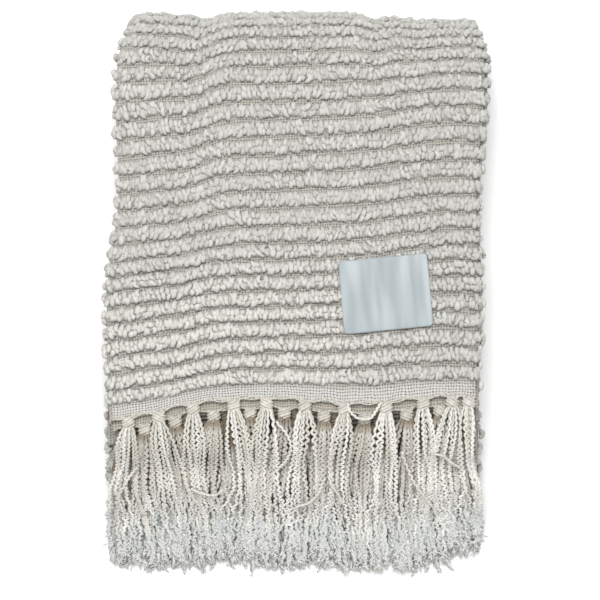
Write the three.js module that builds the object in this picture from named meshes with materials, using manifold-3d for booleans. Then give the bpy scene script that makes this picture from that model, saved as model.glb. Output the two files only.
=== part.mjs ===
import * as THREE from 'three';
import Module from 'manifold-3d';

// A folded boucle throw, in millimetres, +Z up, fringe towards -Y
const PLY = 5.5; // height taken by one ply of cloth
const CLOTH = 4.8; // thickness of a ply over its ribs
const RIB = 1.7; // height of a rib above the open weave
const PACK = 4 * PLY; // four plies lie on each other across the width, and the pack is halved twice
const AIR = PLY - CLOTH; // air between two plies
const HEM = -89; // end of the top ply
const BACK = 201; // where the flat layers start to turn at the back
const FRONT = -143; // where the two lowest layers start to turn at the front

// Height of a number of packs above the surface that the lowest ribs rest on
const level = (packs) => packs * PACK - AIR / 2;

// Layers of the stack: middle height, and which way the ribbed face looks
const LAYERS = {
  top: { mid: level(3.5), up: 1 },
  second: { mid: level(2.5), up: -1 },
  third: { mid: level(1.5), up: 1 },
  bottom: { mid: level(0.5), up: -1 },
};

// Turns between layers: centre, middle radius, how the radius grows outwards, sideways stretch
const TURNS = {
  back: { y: BACK, z: level(2), radius: 1.5 * PACK, grow: 1, stretch: 5, side: 1, start: 1 },
  front: { y: FRONT, z: level(1), radius: 0.5 * PACK, grow: 1, stretch: 4, side: -1, start: -1 },
  inner: { y: BACK, z: level(2), radius: 0.5 * PACK, grow: -1, stretch: 4, side: 1, start: -1 },
};

// The way of the cloth from the top hem to the second hem, with the length of each run
const RUNS = [
  { layer: 'top', from: HEM, to: BACK, length: BACK - HEM },
  { turn: 'back', length: 145 },
  { layer: 'bottom', from: BACK, to: FRONT, length: BACK - FRONT },
  { turn: 'front', length: 74 },
  { layer: 'third', from: FRONT, to: BACK, length: BACK - FRONT },
  { turn: 'inner', length: 30 },
  { layer: 'second', from: BACK, to: HEM, length: BACK - HEM },
];
const TOTAL = RUNS.reduce((sum, run) => sum + run.length, 0);
const RIBBED = RUNS.slice(0, 4).reduce((sum, run) => sum + run.length, 0);

// Side edges of the stack at stations along it, and how far the stack sinks there
const OUTLINE = [
  { y: 250, left: -143, right: 160, sink: 0.01 },
  { y: 208, left: -157, right: 167, sink: 0 },
  { y: 75, left: -158, right: 160, sink: 0.015 },
  { y: 20, left: -166, right: 162, sink: 0 },
  { y: -143, left: -165, right: 158, sink: 0.04 },
];
const EDGE_SINK = 0.06; // the stack sinks this much more at its two sides
const EDGE_FROM = 127; // starting this far from the middle

// Stations across the throw
const ACROSS = { bay: -127, crease: -96, ridge: -72, middle: -20, lee: 60, slope: 127 };
const LEFT = -165;
const RIGHT = 165;

// How far the ribs rise or dip at those stations, by place along the cloth
const RISE = [
  { y: -89, left: -19, bay: -14, crease: -6, ridge: -3, middle: 0, lee: -5, slope: 1, right: 1 },
  { y: -62, left: -20, bay: -14, crease: -9, ridge: -3, middle: 0, lee: 1, slope: 5, right: 3 },
  { y: 0, left: -16, bay: -11, crease: -7, ridge: -2, middle: 0, lee: 3, slope: 12, right: 12 },
  { y: 110, left: -18, bay: -15, crease: -11, ridge: -3, middle: 0, lee: 4, slope: 11, right: 11 },
  { y: 168, left: -18, bay: -14, crease: -11, ridge: -2, middle: 0, lee: 4, slope: 13, right: 12 },
  { y: 215, left: -10, bay: -10, crease: -9, ridge: -2, middle: 0, lee: 3, slope: 9, right: 9 },
  { y: 330, left: 0, bay: 0, crease: 0, ridge: 0, middle: 0, lee: 0, slope: 0, right: 0 },
];

// Spacing of the ribs from the top hem onwards
const RIB_ROWS = [
  { count: 9, pitch: 13.4 },
  { count: 10, pitch: 15.3 },
  { count: 39, pitch: 14.4 },
];
const FIRST_RIB = 13; // plain hem before the first rib
const CREST = { from: 0.24, to: 0.76 }; // flat top of a rib within its pitch

// Helpers for even and uneven spacing
const mix = (a, b, f) => a + (b - a) * f;
const clamp01 = (f) => Math.min(1, Math.max(0, f));
const uneven = (seed) => {
  const s = Math.sin(seed * 12.9898 + 4.1) * 43758.5453;
  return 2 * (s - Math.floor(s)) - 1;
};

// A value read from a table of stations, held beyond its ends
function read(table, key, at, name) {
  const rows = [...table].sort((a, b) => a[key] - b[key]);
  let k = 0;
  while (k < rows.length - 2 && at > rows[k + 1][key]) k += 1;
  const f = clamp01((at - rows[k][key]) / (rows[k + 1][key] - rows[k][key]));
  return mix(rows[k][name], rows[k + 1][name], f);
}

// Rise of the ribs at a place across the throw
function rise(x, along) {
  const places = { left: LEFT, ...ACROSS, right: RIGHT };
  const table = Object.entries(places).map(([name, at]) => ({ at, rise: read(RISE, 'y', along, name) }));
  return read(table, 'at', x, 'rise');
}

// From the ideal stack to the uneven one: side edges and sinking
function settle(x, y, z) {
  const left = read(OUTLINE, 'y', y, 'left');
  const right = read(OUTLINE, 'y', y, 'right');
  const edge = clamp01((Math.abs(x) - EDGE_FROM) / (RIGHT - EDGE_FROM));
  const sink = read(OUTLINE, 'y', y, 'sink') + EDGE_SINK * edge;
  return [mix(left, right, (x - LEFT) / (RIGHT - LEFT)), y, z * (1 - sink)];
}

// Place of a point at a length along the cloth and a height within the pack
function place(length, h, hem) {
  let rest = length;
  let k = 0;
  while (k < RUNS.length - 1 && rest > RUNS[k].length) {
    rest -= RUNS[k].length;
    k += 1;
  }
  const run = RUNS[k];
  const f = rest / run.length;
  if (run.turn) {
    const turn = TURNS[run.turn];
    const r = turn.radius + turn.grow * h;
    const y = turn.y + turn.side * (r + turn.stretch) * Math.sin(Math.PI * f);
    return [y, turn.z + turn.start * r * Math.cos(Math.PI * f)];
  }
  const layer = LAYERS[run.layer];
  const ends = length === 0 || length === TOTAL;
  return [ends ? hem : mix(run.from, run.to, f), layer.mid + layer.up * h];
}

// Ends of the plies lie a little behind each other, outermost ply first
const HEM_BACK = { top: [0, -8, -11, -15], second: [-26, -24, -22, -19] };
const plyHem = (end, ply) => {
  const k = Math.min(2, Math.floor(ply));
  return HEM + mix(HEM_BACK[end][k], HEM_BACK[end][k + 1], ply - k);
};

// Section of the pack across the width: four plies joined by three folds
const PLY_X = [
  { from: 160, to: -159 },
  { from: -159, to: 160 },
  { from: 160, to: -156 },
  { from: -156, to: 157 },
];
const FOLD_STEPS = 4;
const OUTER_STATIONS = Object.values(ACROSS).reverse();
const INNER_STATIONS = [EDGE_FROM, ACROSS.middle, -EDGE_FROM];

function section() {
  const columns = [];
  PLY_X.forEach((ply, k) => {
    const up = k % 2 === 0 ? 1 : -1;
    const h = (1.5 - k) * PLY;
    const between = k === 0 ? OUTER_STATIONS : INNER_STATIONS;
    const inside = up > 0 ? between : [...between].reverse();
    for (const x of [ply.from, ...inside, ply.to]) columns.push({ x, h, nx: 0, nh: up, ply: k });
    if (k === PLY_X.length - 1) return;
    for (let s = 1; s < FOLD_STEPS; s += 1) {
      const a = (Math.PI * s) / FOLD_STEPS;
      const out = [-up * Math.sin(a), Math.cos(a)];
      columns.push({
        x: ply.to + out[0] * PLY * 0.5,
        h: h - PLY / 2 + out[1] * PLY * 0.5,
        nx: up * out[0],
        nh: up * out[1],
        ply: k + s / FOLD_STEPS,
      });
    }
  });
  return columns;
}

// Lengths along the cloth where a hidden face has its rows
function plainRows(from) {
  const rows = [0];
  let start = 0;
  for (const run of RUNS) {
    const stations = run.turn
      ? [0.17, 0.33, 0.5, 0.67, 0.83]
      : OUTLINE.map(({ y }) => (y - run.from) / (run.to - run.from)).filter((f) => f > 0.02 && f < 0.98);
    for (const f of [...stations.sort((a, b) => a - b), 1]) rows.push(start + f * run.length);
    start += run.length;
  }
  return rows.filter((length) => length >= from).map((length) => ({ key: length, length, depth: 0 }));
}

// Rows of the ribbed face at one station: two crest rows and one row in the open weave for each rib
function ribRows(x) {
  const rows = [];
  let at = FIRST_RIB;
  for (const { count, pitch } of RIB_ROWS) {
    for (let k = 0; k < count; k += 1) {
      rows.push({ key: at, depth: RIB });
      rows.push({ key: at + CREST.from * pitch, depth: 0 });
      rows.push({ key: at + CREST.to * pitch, depth: 0 });
      at += pitch;
    }
  }
  const kept = rows.filter(({ key }) => key < RIBBED - 4);
  const moved = kept.map(({ key, depth }) => ({ key, length: key + rise(x, HEM + key), depth }));
  return [{ key: 0, length: 0, depth: RIB }, ...moved, ...plainRows(RIBBED)];
}

// Two neighbouring rows of points joined by triangles
function zip(a, b, faces) {
  let i = 0;
  let j = 0;
  while (i < a.length - 1 || j < b.length - 1) {
    const nextA = i < a.length - 1 ? a[i + 1].key : Infinity;
    const nextB = j < b.length - 1 ? b[j + 1].key : Infinity;
    if (nextA <= nextB) {
      faces.push([a[i].id, a[i + 1].id, b[j].id]);
      i += 1;
    } else {
      faces.push([a[i].id, b[j + 1].id, b[j].id]);
      j += 1;
    }
  }
}

// Faces of a closed solid turned to look outwards
function outward(geometry) {
  const p = geometry.attributes.position.array;
  const index = geometry.index.array;
  let volume = 0;
  for (let t = 0; t < index.length; t += 3) {
    const [a, b, c] = [0, 1, 2].map((k) => new THREE.Vector3().fromArray(p, 3 * index[t + k]));
    volume += a.dot(b.cross(c));
  }
  if (volume < 0) {
    const turned = [];
    for (let t = 0; t < index.length; t += 3) turned.push(index[t], index[t + 2], index[t + 1]);
    geometry.setIndex(turned);
  }
  return geometry;
}

function solid(points, faces) {
  const geometry = new THREE.BufferGeometry();
  geometry.setAttribute('position', new THREE.Float32BufferAttribute(points.flat(), 3));
  geometry.setIndex(faces.flat());
  return outward(geometry);
}

// The folded cloth: both faces of the sheet, its selvedges and its two hems
function throwCloth() {
  const points = [];
  const faces = [];
  const columns = section();
  const ribbedTo = OUTER_STATIONS.length + 2 + FOLD_STEPS - 2;
  const face = (side) => columns.map((column, c) => {
    const ribbed = side > 0 && c <= ribbedTo;
    const rows = ribbed ? ribRows(column.x) : plainRows(0);
    const strength = ribbed ? clamp01(1 - (column.ply - 0.5) * 2) : 0;
    return rows.map(({ key, length, depth }) => {
      const half = CLOTH / 2 - depth * strength;
      const x = column.x + side * half * column.nx;
      const h = column.h + side * half * column.nh;
      const end = length === 0 ? 'top' : 'second';
      const [y, z] = place(length, h, plyHem(end, column.ply) + rise(column.x, HEM));
      points.push(settle(x, y, z));
      return { id: points.length - 1, key };
    });
  });
  const outer = face(1);
  const inner = face(-1);
  for (let c = 0; c < columns.length - 1; c += 1) {
    zip(outer[c], outer[c + 1], faces);
    zip(inner[c + 1], inner[c], faces);
    for (const row of [0, -1]) {
      const corner = [outer[c].at(row).id, outer[c + 1].at(row).id, inner[c + 1].at(row).id, inner[c].at(row).id];
      const [p, q, r, s] = row === 0 ? corner : [...corner].reverse();
      faces.push([p, q, r], [p, r, s]);
    }
  }
  zip(inner[0], outer[0], faces);
  zip(outer.at(-1), inner.at(-1), faces);
  return solid(points, faces);
}

// A closed solid through a run of rings
function loft(rings) {
  const n = rings[0].length;
  const faces = [];
  for (let k = 0; k < rings.length - 1; k += 1) {
    for (let i = 0; i < n; i += 1) {
      const a = k * n + i;
      const b = k * n + ((i + 1) % n);
      faces.push([a, b, b + n], [a, b + n, a + n]);
    }
  }
  const last = (rings.length - 1) * n;
  for (let i = 0; i < Math.ceil(n / 2) - 1; i += 1) {
    const [a, b, c, d] = [i, i + 1, n - 2 - i, n - 1 - i];
    faces.push([a, d, b], [last + a, last + b, last + d]);
    if (b !== c) faces.push([b, d, c], [last + b, last + c, last + d]);
  }
  return solid(rings.flat(), faces);
}

// Joining of closed solids into one
const wasm = await Module();
wasm.setup();

function joined(geometries) {
  const bodies = geometries.map((geometry) => new wasm.Manifold(new wasm.Mesh({
    numProp: 3,
    vertProperties: new Float32Array(geometry.attributes.position.array),
    triVerts: new Uint32Array(geometry.index.array),
  })));
  const mesh = wasm.Manifold.union(bodies).getMesh();
  const geometry = new THREE.BufferGeometry();
  geometry.setAttribute('position', new THREE.Float32BufferAttribute(mesh.vertProperties, 3));
  geometry.setIndex(Array.from(mesh.triVerts));
  return geometry;
}

// Fringe of the eight ply ends, from the top down: bunches, locks in a bunch, place of the first bunch
const FRINGES = [
  { name: 'fringe_top_1', end: 'top', ply: 0, bunches: 11, locks: 4, offset: 0.5 },
  { name: 'fringe_top_2', end: 'top', ply: 1, bunches: 10, locks: 3, offset: 0.5 },
  { name: 'fringe_top_3', end: 'top', ply: 2, bunches: 3, locks: 2, offset: 0.4 },
  { name: 'fringe_top_4', end: 'top', ply: 3, bunches: 3, locks: 2, offset: 0.6 },
  { name: 'fringe_lower_1', end: 'second', ply: 3, bunches: 3, locks: 2, offset: 0.3 },
  { name: 'fringe_lower_2', end: 'second', ply: 2, bunches: 3, locks: 2, offset: 0.7 },
  { name: 'fringe_lower_3', end: 'second', ply: 1, bunches: 6, locks: 2, offset: 0.5 },
  { name: 'fringe_lower_4', end: 'second', ply: 0, bunches: 11, locks: 2, offset: 0.6 },
];
const FRINGE_LENGTH = 129;
const STRIP = { gap: 0.35, depth: 5, half: 1.5 };
const KNOT = { half_width: 5, half_height: 2.1 };
const KNOT_RINGS = [
  { along: 2.5, size: 0.55 },
  { along: -2, size: 1 },
  { along: -8, size: 0.65 },
];
const LOCK = { root_fan: 5.6, tip_fan: 24, fill: 0.4, below: 0.8, above: 1.1, root: 0.55, tip: 0.45 };
const FALL = { level_to: -128, clear: 1.5, pitch: 2.5, angle: 0.8, floor_pitch: 2.4 };
const FALL_STEPS = [0.25, 0.6, 1];

// Way of a lock seen from the side: level at first, over the front turn, then along the floor
function fall(rank, startY, startZ, length) {
  const above = FRINGES.length - rank - 0.5;
  const reach = PACK + FALL.clear + above * FALL.pitch;
  const path = [{ y: startY, z: startZ }, { y: Math.min(FALL.level_to, startY - 3), z: startZ }];
  for (const step of FALL_STEPS) {
    const a = FALL.angle * step;
    path.push({ y: FRONT - (reach + TURNS.front.stretch) * Math.sin(a), z: TURNS.front.z + reach * Math.cos(a) });
  }
  const floor = LOCK.below + (FRINGES.length - 1 - rank) * FALL.floor_pitch;
  const low = path.at(-1);
  const run = (low.z - floor) / Math.tan(FALL.angle);
  path.push({ y: low.y - run, z: floor }, { y: low.y - run - length, z: floor });
  return shortened(path, length);
}

// A path cut off at a length, keeping its number of points
function shortened(path, length) {
  let rest = length;
  const kept = [path[0]];
  for (let k = 1; k < path.length; k += 1) {
    const from = kept.at(-1);
    const step = Math.hypot(path[k].y - from.y, path[k].z - from.z);
    const f = Math.min(1, rest / step);
    if (f * step < 1) break;
    kept.push({ y: mix(from.y, path[k].y, f), z: mix(from.z, path[k].z, f) });
    rest -= f * step;
  }
  return kept;
}

function fringe({ end, ply, bunches, locks, offset }, rank) {
  const layer = LAYERS[end];
  const z = layer.mid + layer.up * (1.5 - ply) * PLY;
  const ends = [PLY_X[ply].from, PLY_X[ply].to].sort((a, b) => a - b);
  const stations = [ends[1], ...(ply === 0 ? OUTER_STATIONS : INNER_STATIONS), ends[0]];
  const line = stations.map((x) => ({ x, y: plyHem(end, ply) + rise(x, HEM) - STRIP.gap }));
  const hemAt = (x) => read(line, 'x', x, 'y');
  const pieces = [];
  pieces.push(loft(stations.map((x) => [
    settle(x, hemAt(x), z - STRIP.half),
    settle(x, hemAt(x) - STRIP.depth, z - STRIP.half),
    settle(x, hemAt(x) - STRIP.depth, z + STRIP.half),
    settle(x, hemAt(x), z + STRIP.half),
  ])));
  for (let b = 0; b < bunches; b += 1) {
    const share = (b + offset) / bunches;
    const seed = 100 * rank + b;
    const x = mix(ends[0] + 4, ends[1] - 4, share) + 2.5 * uneven(seed);
    const knotY = hemAt(x) - STRIP.depth;
    pieces.push(loft(KNOT_RINGS.map(({ along, size }) => Array.from({ length: 6 }, (_, i) => {
      const a = (Math.PI * (i + 0.5)) / 3;
      const dx = KNOT.half_width * size * Math.cos(a);
      return settle(x + dx, knotY + along, z + KNOT.half_height * size * Math.sin(a));
    }))));
    for (let k = 0; k < locks; k += 1) {
      pieces.push(lock(rank, x, knotY - 4, z, k - (locks - 1) / 2, locks, seed * 10 + k));
    }
  }
  return joined(pieces);
}

// One lock of strands: three sides, level underneath, spreading towards its tip
function lock(rank, x, y, z, spot, locks, seed) {
  const length = FRINGE_LENGTH * (1 + 0.05 * uneven(seed));
  const path = fall(rank, y, z, length);
  const lean = 2 * uneven(Math.floor(seed / 10) + 0.3) + 0.06 * x;
  const rings = path.map((point, k) => {
    const f = k / (path.length - 1);
    const spacing = mix(LOCK.root_fan, LOCK.tip_fan, Math.sqrt(f)) / locks;
    const middle = x + (spot + 0.08 * uneven(seed + 0.1 * k)) * spacing + lean * f;
    const root = k === 0 ? LOCK.root : 1;
    const size = k === path.length - 1 ? LOCK.tip : root;
    const half = LOCK.fill * spacing * size;
    const bottom = point.z - LOCK.below * root;
    return [
      settle(middle - half, point.y, bottom),
      settle(middle + half, point.y, bottom),
      settle(middle, point.y, point.z + LOCK.above * size),
    ];
  });
  return loft(rings);
}

// Satin label lying on the ribs
const LABEL = { x: 79, y: 2, width: 77, height: 63, turn: 0.1, thick: 0.9, gap: 0.35, across: 6, along: 5 };

function label() {
  const onTop = (i, j, lift) => {
    const u = LABEL.width * (i / LABEL.across - 0.5);
    const v = LABEL.height * (j / LABEL.along - 0.5);
    const x = LABEL.x + u * Math.cos(LABEL.turn) - v * Math.sin(LABEL.turn);
    const y = LABEL.y + u * Math.sin(LABEL.turn) + v * Math.cos(LABEL.turn);
    const [sx, sy, sz] = settle(x, y, level(4) - AIR / 2);
    return [sx, sy, sz + lift];
  };
  const steps = (n) => Array.from({ length: n + 1 }, (_, k) => k);
  const rings = steps(LABEL.across).map((i) => [
    ...steps(LABEL.along).reverse().map((j) => onTop(i, j, LABEL.gap)),
    ...steps(LABEL.along).map((j) => onTop(i, j, LABEL.gap + LABEL.thick)),
  ]);
  return loft(rings);
}

// Colours of the finished pieces
const IVORY = new THREE.MeshStandardMaterial({ color: 0xd9d5cb, roughness: 0.95, metalness: 0 });
const STRAND = new THREE.MeshStandardMaterial({ color: 0xdbd6ca, roughness: 0.95, metalness: 0 });
const SATIN = new THREE.MeshStandardMaterial({ color: 0xe6eaeb, roughness: 0.5, metalness: 0 });

const throwGroup = new THREE.Group();
throwGroup.name = 'boucle_throw';

function add(name, geometry, material) {
  const mesh = new THREE.Mesh(geometry, material);
  mesh.name = name;
  throwGroup.add(mesh);
}

add('throw_cloth', throwCloth(), IVORY);
FRINGES.forEach((row, rank) => add(row.name, fringe(row, rank), STRAND));
add('label', label(), SATIN);

// Origin under the middle of the throw
const box = new THREE.Box3().setFromObject(throwGroup);
const middle = box.getCenter(new THREE.Vector3());
throwGroup.children.forEach((mesh) => mesh.geometry.translate(-middle.x, -middle.y, -box.min.z));

export default throwGroup;
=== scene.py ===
# %% [markdown]
# # A folded boucle throw
# The throw is one woven cloth of ivory yarn. Rows of fat looped yarn lie across it as ribs, and its
# warp ends are knotted into a fringe at both ends. It lies folded: four plies across its width, then
# halved twice along its length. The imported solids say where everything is, so the lesson starts by
# loading them and keeping their box.

import bpy
import numpy as np
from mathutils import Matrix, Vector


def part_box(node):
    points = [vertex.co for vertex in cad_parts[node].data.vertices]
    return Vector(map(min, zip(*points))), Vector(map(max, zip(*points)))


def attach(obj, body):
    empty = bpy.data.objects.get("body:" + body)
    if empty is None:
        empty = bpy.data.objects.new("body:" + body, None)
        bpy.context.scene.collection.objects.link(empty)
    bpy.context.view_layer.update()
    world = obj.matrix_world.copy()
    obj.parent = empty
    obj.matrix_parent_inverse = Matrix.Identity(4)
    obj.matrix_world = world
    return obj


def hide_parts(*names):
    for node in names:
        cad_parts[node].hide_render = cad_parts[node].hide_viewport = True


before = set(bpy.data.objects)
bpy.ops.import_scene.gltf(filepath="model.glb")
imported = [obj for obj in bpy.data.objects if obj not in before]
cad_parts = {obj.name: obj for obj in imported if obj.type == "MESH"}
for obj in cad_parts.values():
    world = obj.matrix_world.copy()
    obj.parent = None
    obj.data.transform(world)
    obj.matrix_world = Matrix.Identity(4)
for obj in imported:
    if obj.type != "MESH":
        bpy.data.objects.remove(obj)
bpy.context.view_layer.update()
MM = 0.001


# %% [markdown]
# ## The folds
# A weaver thinks of a place on the cloth, not of a place in the room. So every yarn here is placed by
# its distance across the flat cloth, its distance along it and its height above it, and one function
# carries that place through the folds. The sizes are those of the solids, in millimetres. A cloth
# simulation would also fold a sheet, but sixteen plies in contact seldom settle evenly, and the fold
# would no longer match the solids.

# %% Sizes of the folded stack
PLY = 5.5
PACK = 4 * PLY
CLOTH = 4.8
AIR = PLY - CLOTH
OUTER_PLY = 1.5
HEM = -89
BACK = 201
FRONT = -143


def level(packs):
    """Height of a number of packs of four plies."""
    return packs * PACK - AIR / 2


LAYERS = {
    "top": {"middle": level(3.5), "up": 1},
    "second": {"middle": level(2.5), "up": -1},
    "third": {"middle": level(1.5), "up": 1},
    "bottom": {"middle": level(0.5), "up": -1},
}
TURNS = {
    "back": {"y": BACK, "z": level(2), "radius": 1.5 * PACK, "grow": 1, "stretch": 5, "side": 1},
    "front": {"y": FRONT, "z": level(1), "radius": 0.5 * PACK, "grow": 1, "stretch": 4, "side": -1},
    "inner": {"y": BACK, "z": level(2), "radius": 0.5 * PACK, "grow": -1, "stretch": 4, "side": 1},
}
RUNS = [
    {"layer": "top", "from": HEM, "to": BACK, "length": BACK - HEM, "rows": 36},
    {"turn": "back", "length": 145, "rows": 20},
    {"layer": "bottom", "from": BACK, "to": FRONT, "length": BACK - FRONT, "rows": 16},
    {"turn": "front", "length": 74, "rows": 14},
    {"layer": "third", "from": FRONT, "to": BACK, "length": BACK - FRONT, "rows": 16},
    {"turn": "inner", "length": 30, "rows": 10},
    {"layer": "second", "from": BACK, "to": HEM, "length": BACK - HEM, "rows": 18},
]
RUN_STARTS = np.cumsum([0] + [run["length"] for run in RUNS])
TOTAL = RUN_STARTS[-1]
print("cloth along the folds:", TOTAL, "mm")

# %% A smooth curve through a row of stations
def curve_through(at, stations, values):
    """Smooth curve through values at rising stations, held beyond the ends; values may differ by point."""
    stations = np.asarray(stations, float)
    at = np.clip(np.asarray(at, float), stations[0], stations[-1])
    values = np.broadcast_to(np.asarray(values, float), at.shape + stations.shape)
    gaps = np.diff(stations)
    slopes = np.diff(values, axis=-1) / gaps
    inner = (slopes[..., :-1] + slopes[..., 1:]) / 2
    tangents = np.concatenate([slopes[..., :1], inner, slopes[..., -1:]], axis=-1)
    k = np.clip(np.searchsorted(stations, at, side="right") - 1, 0, len(stations) - 2)

    def pick(table, shift):
        return np.take_along_axis(table, (k + shift)[..., None], axis=-1)[..., 0]

    gap = gaps[k]
    f = (at - stations[k]) / gap
    start = (1 + 2 * f) * (1 - f) ** 2 * pick(values, 0) + f * (1 - f) ** 2 * gap * pick(tangents, 0)
    end = f * f * (3 - 2 * f) * pick(values, 1) + f * f * (f - 1) * gap * pick(tangents, 1)
    return start + end


def smooth(f):
    """Soft step from 0 to 1."""
    f = np.clip(f, 0, 1)
    return f * f * (3 - 2 * f)


print("soft step at a quarter:", smooth(0.25))

# %% The section across the width: four plies joined by three folds
PLIES = [
    {"from": 160, "to": -159, "columns": 53},
    {"from": -159, "to": 160, "columns": 29},
    {"from": 160, "to": -156, "columns": 9},
    {"from": -156, "to": 157, "columns": 9},
]
FOLD_RADIUS = PLY / 2
FOLD_STEPS = 12


def section():
    """Rows of place, height, outward direction and ply number, and the width of cloth up to each row."""
    rows = []
    for k, ply in enumerate(PLIES):
        up = 1 - 2 * (k % 2)
        height = (OUTER_PLY - k) * PLY
        rows.append((ply["from"], height, 0, up, k))
        rows.append((ply["to"], height, 0, up, k))
        if k == len(PLIES) - 1:
            break
        for a in np.linspace(0, np.pi, FOLD_STEPS + 1)[1:-1]:
            side = -up * np.sin(a)
            x = ply["to"] + side * FOLD_RADIUS
            h = height - FOLD_RADIUS + np.cos(a) * FOLD_RADIUS
            rows.append((x, h, up * side, up * np.cos(a), k + a / np.pi))
    table = np.array(rows, float)
    steps = np.hypot(np.diff(table[:, 0]), np.diff(table[:, 1]))
    return table, np.concatenate([[0], np.cumsum(steps)])


SECTION, SECTION_WIDTHS = section()
PLY_NUMBERS = SECTION[:, -1]
WIDTH = SECTION_WIDTHS[-1]
print("cloth across the folds:", round(WIDTH), "mm")

# %% How the ribs drift, and how the plies' ends lie behind each other
RISE_ACROSS = [-165, -127, -96, -72, -20, 60, 127, 165]
RISE_ALONG = [-89, -62, 0, 110, 168, 215, 330]
RISE = np.array([
    [-19, -14, -6, -3, 0, -5, 1, 1],
    [-20, -14, -9, -3, 0, 1, 5, 3],
    [-16, -11, -7, -2, 0, 3, 12, 12],
    [-18, -15, -11, -3, 0, 4, 11, 11],
    [-18, -14, -11, -2, 0, 4, 13, 12],
    [-10, -10, -9, -2, 0, 3, 9, 9],
    [0, 0, 0, 0, 0, 0, 0, 0],
])
HEM_BACK = {"top": [0, -8, -11, -15], "second": [-26, -24, -22, -19]}
HEM_REACH = 110


def rise(x, y):
    """How far a rib has drifted along the cloth at a place across it."""
    columns = [curve_through(y, RISE_ALONG, column) for column in RISE.T]
    return curve_through(x, RISE_ACROSS, np.stack(columns, axis=-1))


def end_back(end, ply):
    """How far a ply's end lies behind the hem of the first ply."""
    return np.interp(ply, range(len(PLIES)), HEM_BACK[end])


def slip(x, ply, along):
    """Drift of the ribs along the cloth, with the places of the plies' ends."""
    top = smooth(1 - along / HEM_REACH) * end_back("top", ply)
    second = smooth(1 - (TOTAL - along) / HEM_REACH) * (end_back("second", ply) + rise(x, HEM))
    return rise(x, HEM + along) + top - second


print("drift of the ribs at the left and the right of the hem, in mm:", np.round(rise([-160, 160], HEM), 1))

# %% Soft creases of the top ply
CREASES = [
    {"x": -84, "y": 180, "turn": -0.32, "wide": 7, "long": 46, "depth": 3.4},
    {"x": 4, "y": 204, "turn": 0.1, "wide": 13, "long": 24, "depth": 1.6},
    {"x": 66, "y": 168, "turn": 0.25, "wide": 16, "long": 34, "depth": 1.2},
    {"x": -132, "y": -30, "turn": -0.2, "wide": 10, "long": 40, "depth": 1.4},
    {"x": 128, "y": -44, "turn": 0.5, "wide": 12, "long": 30, "depth": 1.5},
]


def turned(mark, x, y):
    """Distances across and along a turned mark, from its middle."""
    a = (x - mark["x"]) * np.cos(mark["turn"]) + (y - mark["y"]) * np.sin(mark["turn"])
    b = (y - mark["y"]) * np.cos(mark["turn"]) - (x - mark["x"]) * np.sin(mark["turn"])
    return a, b


def trough(x, y):
    """Depth of the creases."""
    depth = np.zeros_like(x)
    for crease in CREASES:
        a, b = turned(crease, x, y)
        depth = depth + crease["depth"] * np.exp(-((a / crease["wide"]) ** 2) - (b / crease["long"]) ** 2)
    return depth


print("deepest crease:", max(crease["depth"] for crease in CREASES), "mm")

# %% The uneven stack
OUTLINE = {
    "y": [-143, 20, 75, 208, 250],
    "left": [-165, -166, -158, -157, -143],
    "right": [158, 162, 160, 167, 160],
    "sink": [0.04, 0, 0.015, 0, 0.01],
}
BACK_SLOPE = {"from": 30, "over": 100, "drop": 6, "y_from": 150, "y_over": 90}
LOW_SPREAD = {"y_from": -75, "y_over": 40, "z_from": 66, "z_over": 16, "out": 6}
BACK_DIPS = [
    {"x": -125, "wide": 9, "in": 2.0},
    {"x": -96, "wide": 15, "in": 5.0},
    {"x": 64, "wide": 11, "in": 4.0},
    {"x": 104, "wide": 10, "in": 1.5},
]
HALF_WIDTH = 165
EDGE_FROM = 127
EDGE_SINK = 0.06
BACK_REACH = BACK + TURNS["back"]["radius"] + OUTER_PLY * PLY + CLOTH / 2 + TURNS["back"]["stretch"]
SHIFT_X = -1.0
SHIFT_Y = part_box("throw_cloth")[1].y / MM - BACK_REACH


def settle(x, y, z):
    """From the even stack to the uneven one, with the origin where the solids have it."""
    left = curve_through(y, OUTLINE["y"], OUTLINE["left"])
    right = curve_through(y, OUTLINE["y"], OUTLINE["right"])
    edge = np.clip((np.abs(x) - EDGE_FROM) / (HALF_WIDTH - EDGE_FROM), 0, None)
    sink = curve_through(y, OUTLINE["y"], OUTLINE["sink"]) + EDGE_SINK * edge
    share = (x + HALF_WIDTH) / (2 * HALF_WIDTH)
    at_back = smooth((y - BACK_SLOPE["y_from"]) / BACK_SLOPE["y_over"])
    drop = BACK_SLOPE["drop"] * smooth((x - BACK_SLOPE["from"]) / BACK_SLOPE["over"]) * at_back
    for dip in BACK_DIPS:
        drop = drop + dip["in"] * np.exp(-(((x - dip["x"]) / dip["wide"]) ** 2)) * at_back
    low = smooth((LOW_SPREAD["z_from"] - z) / LOW_SPREAD["z_over"])
    in_front = smooth((LOW_SPREAD["y_from"] - y) / LOW_SPREAD["y_over"])
    spread = LOW_SPREAD["out"] * low * in_front * edge * np.sign(x)
    settled_x = left + (right - left) * share + spread + SHIFT_X
    return np.stack([settled_x, y - drop + SHIFT_Y, z * (1 - sink)], axis=-1)


print("stack shifted by", SHIFT_X, round(SHIFT_Y, 2), "mm")

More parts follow.
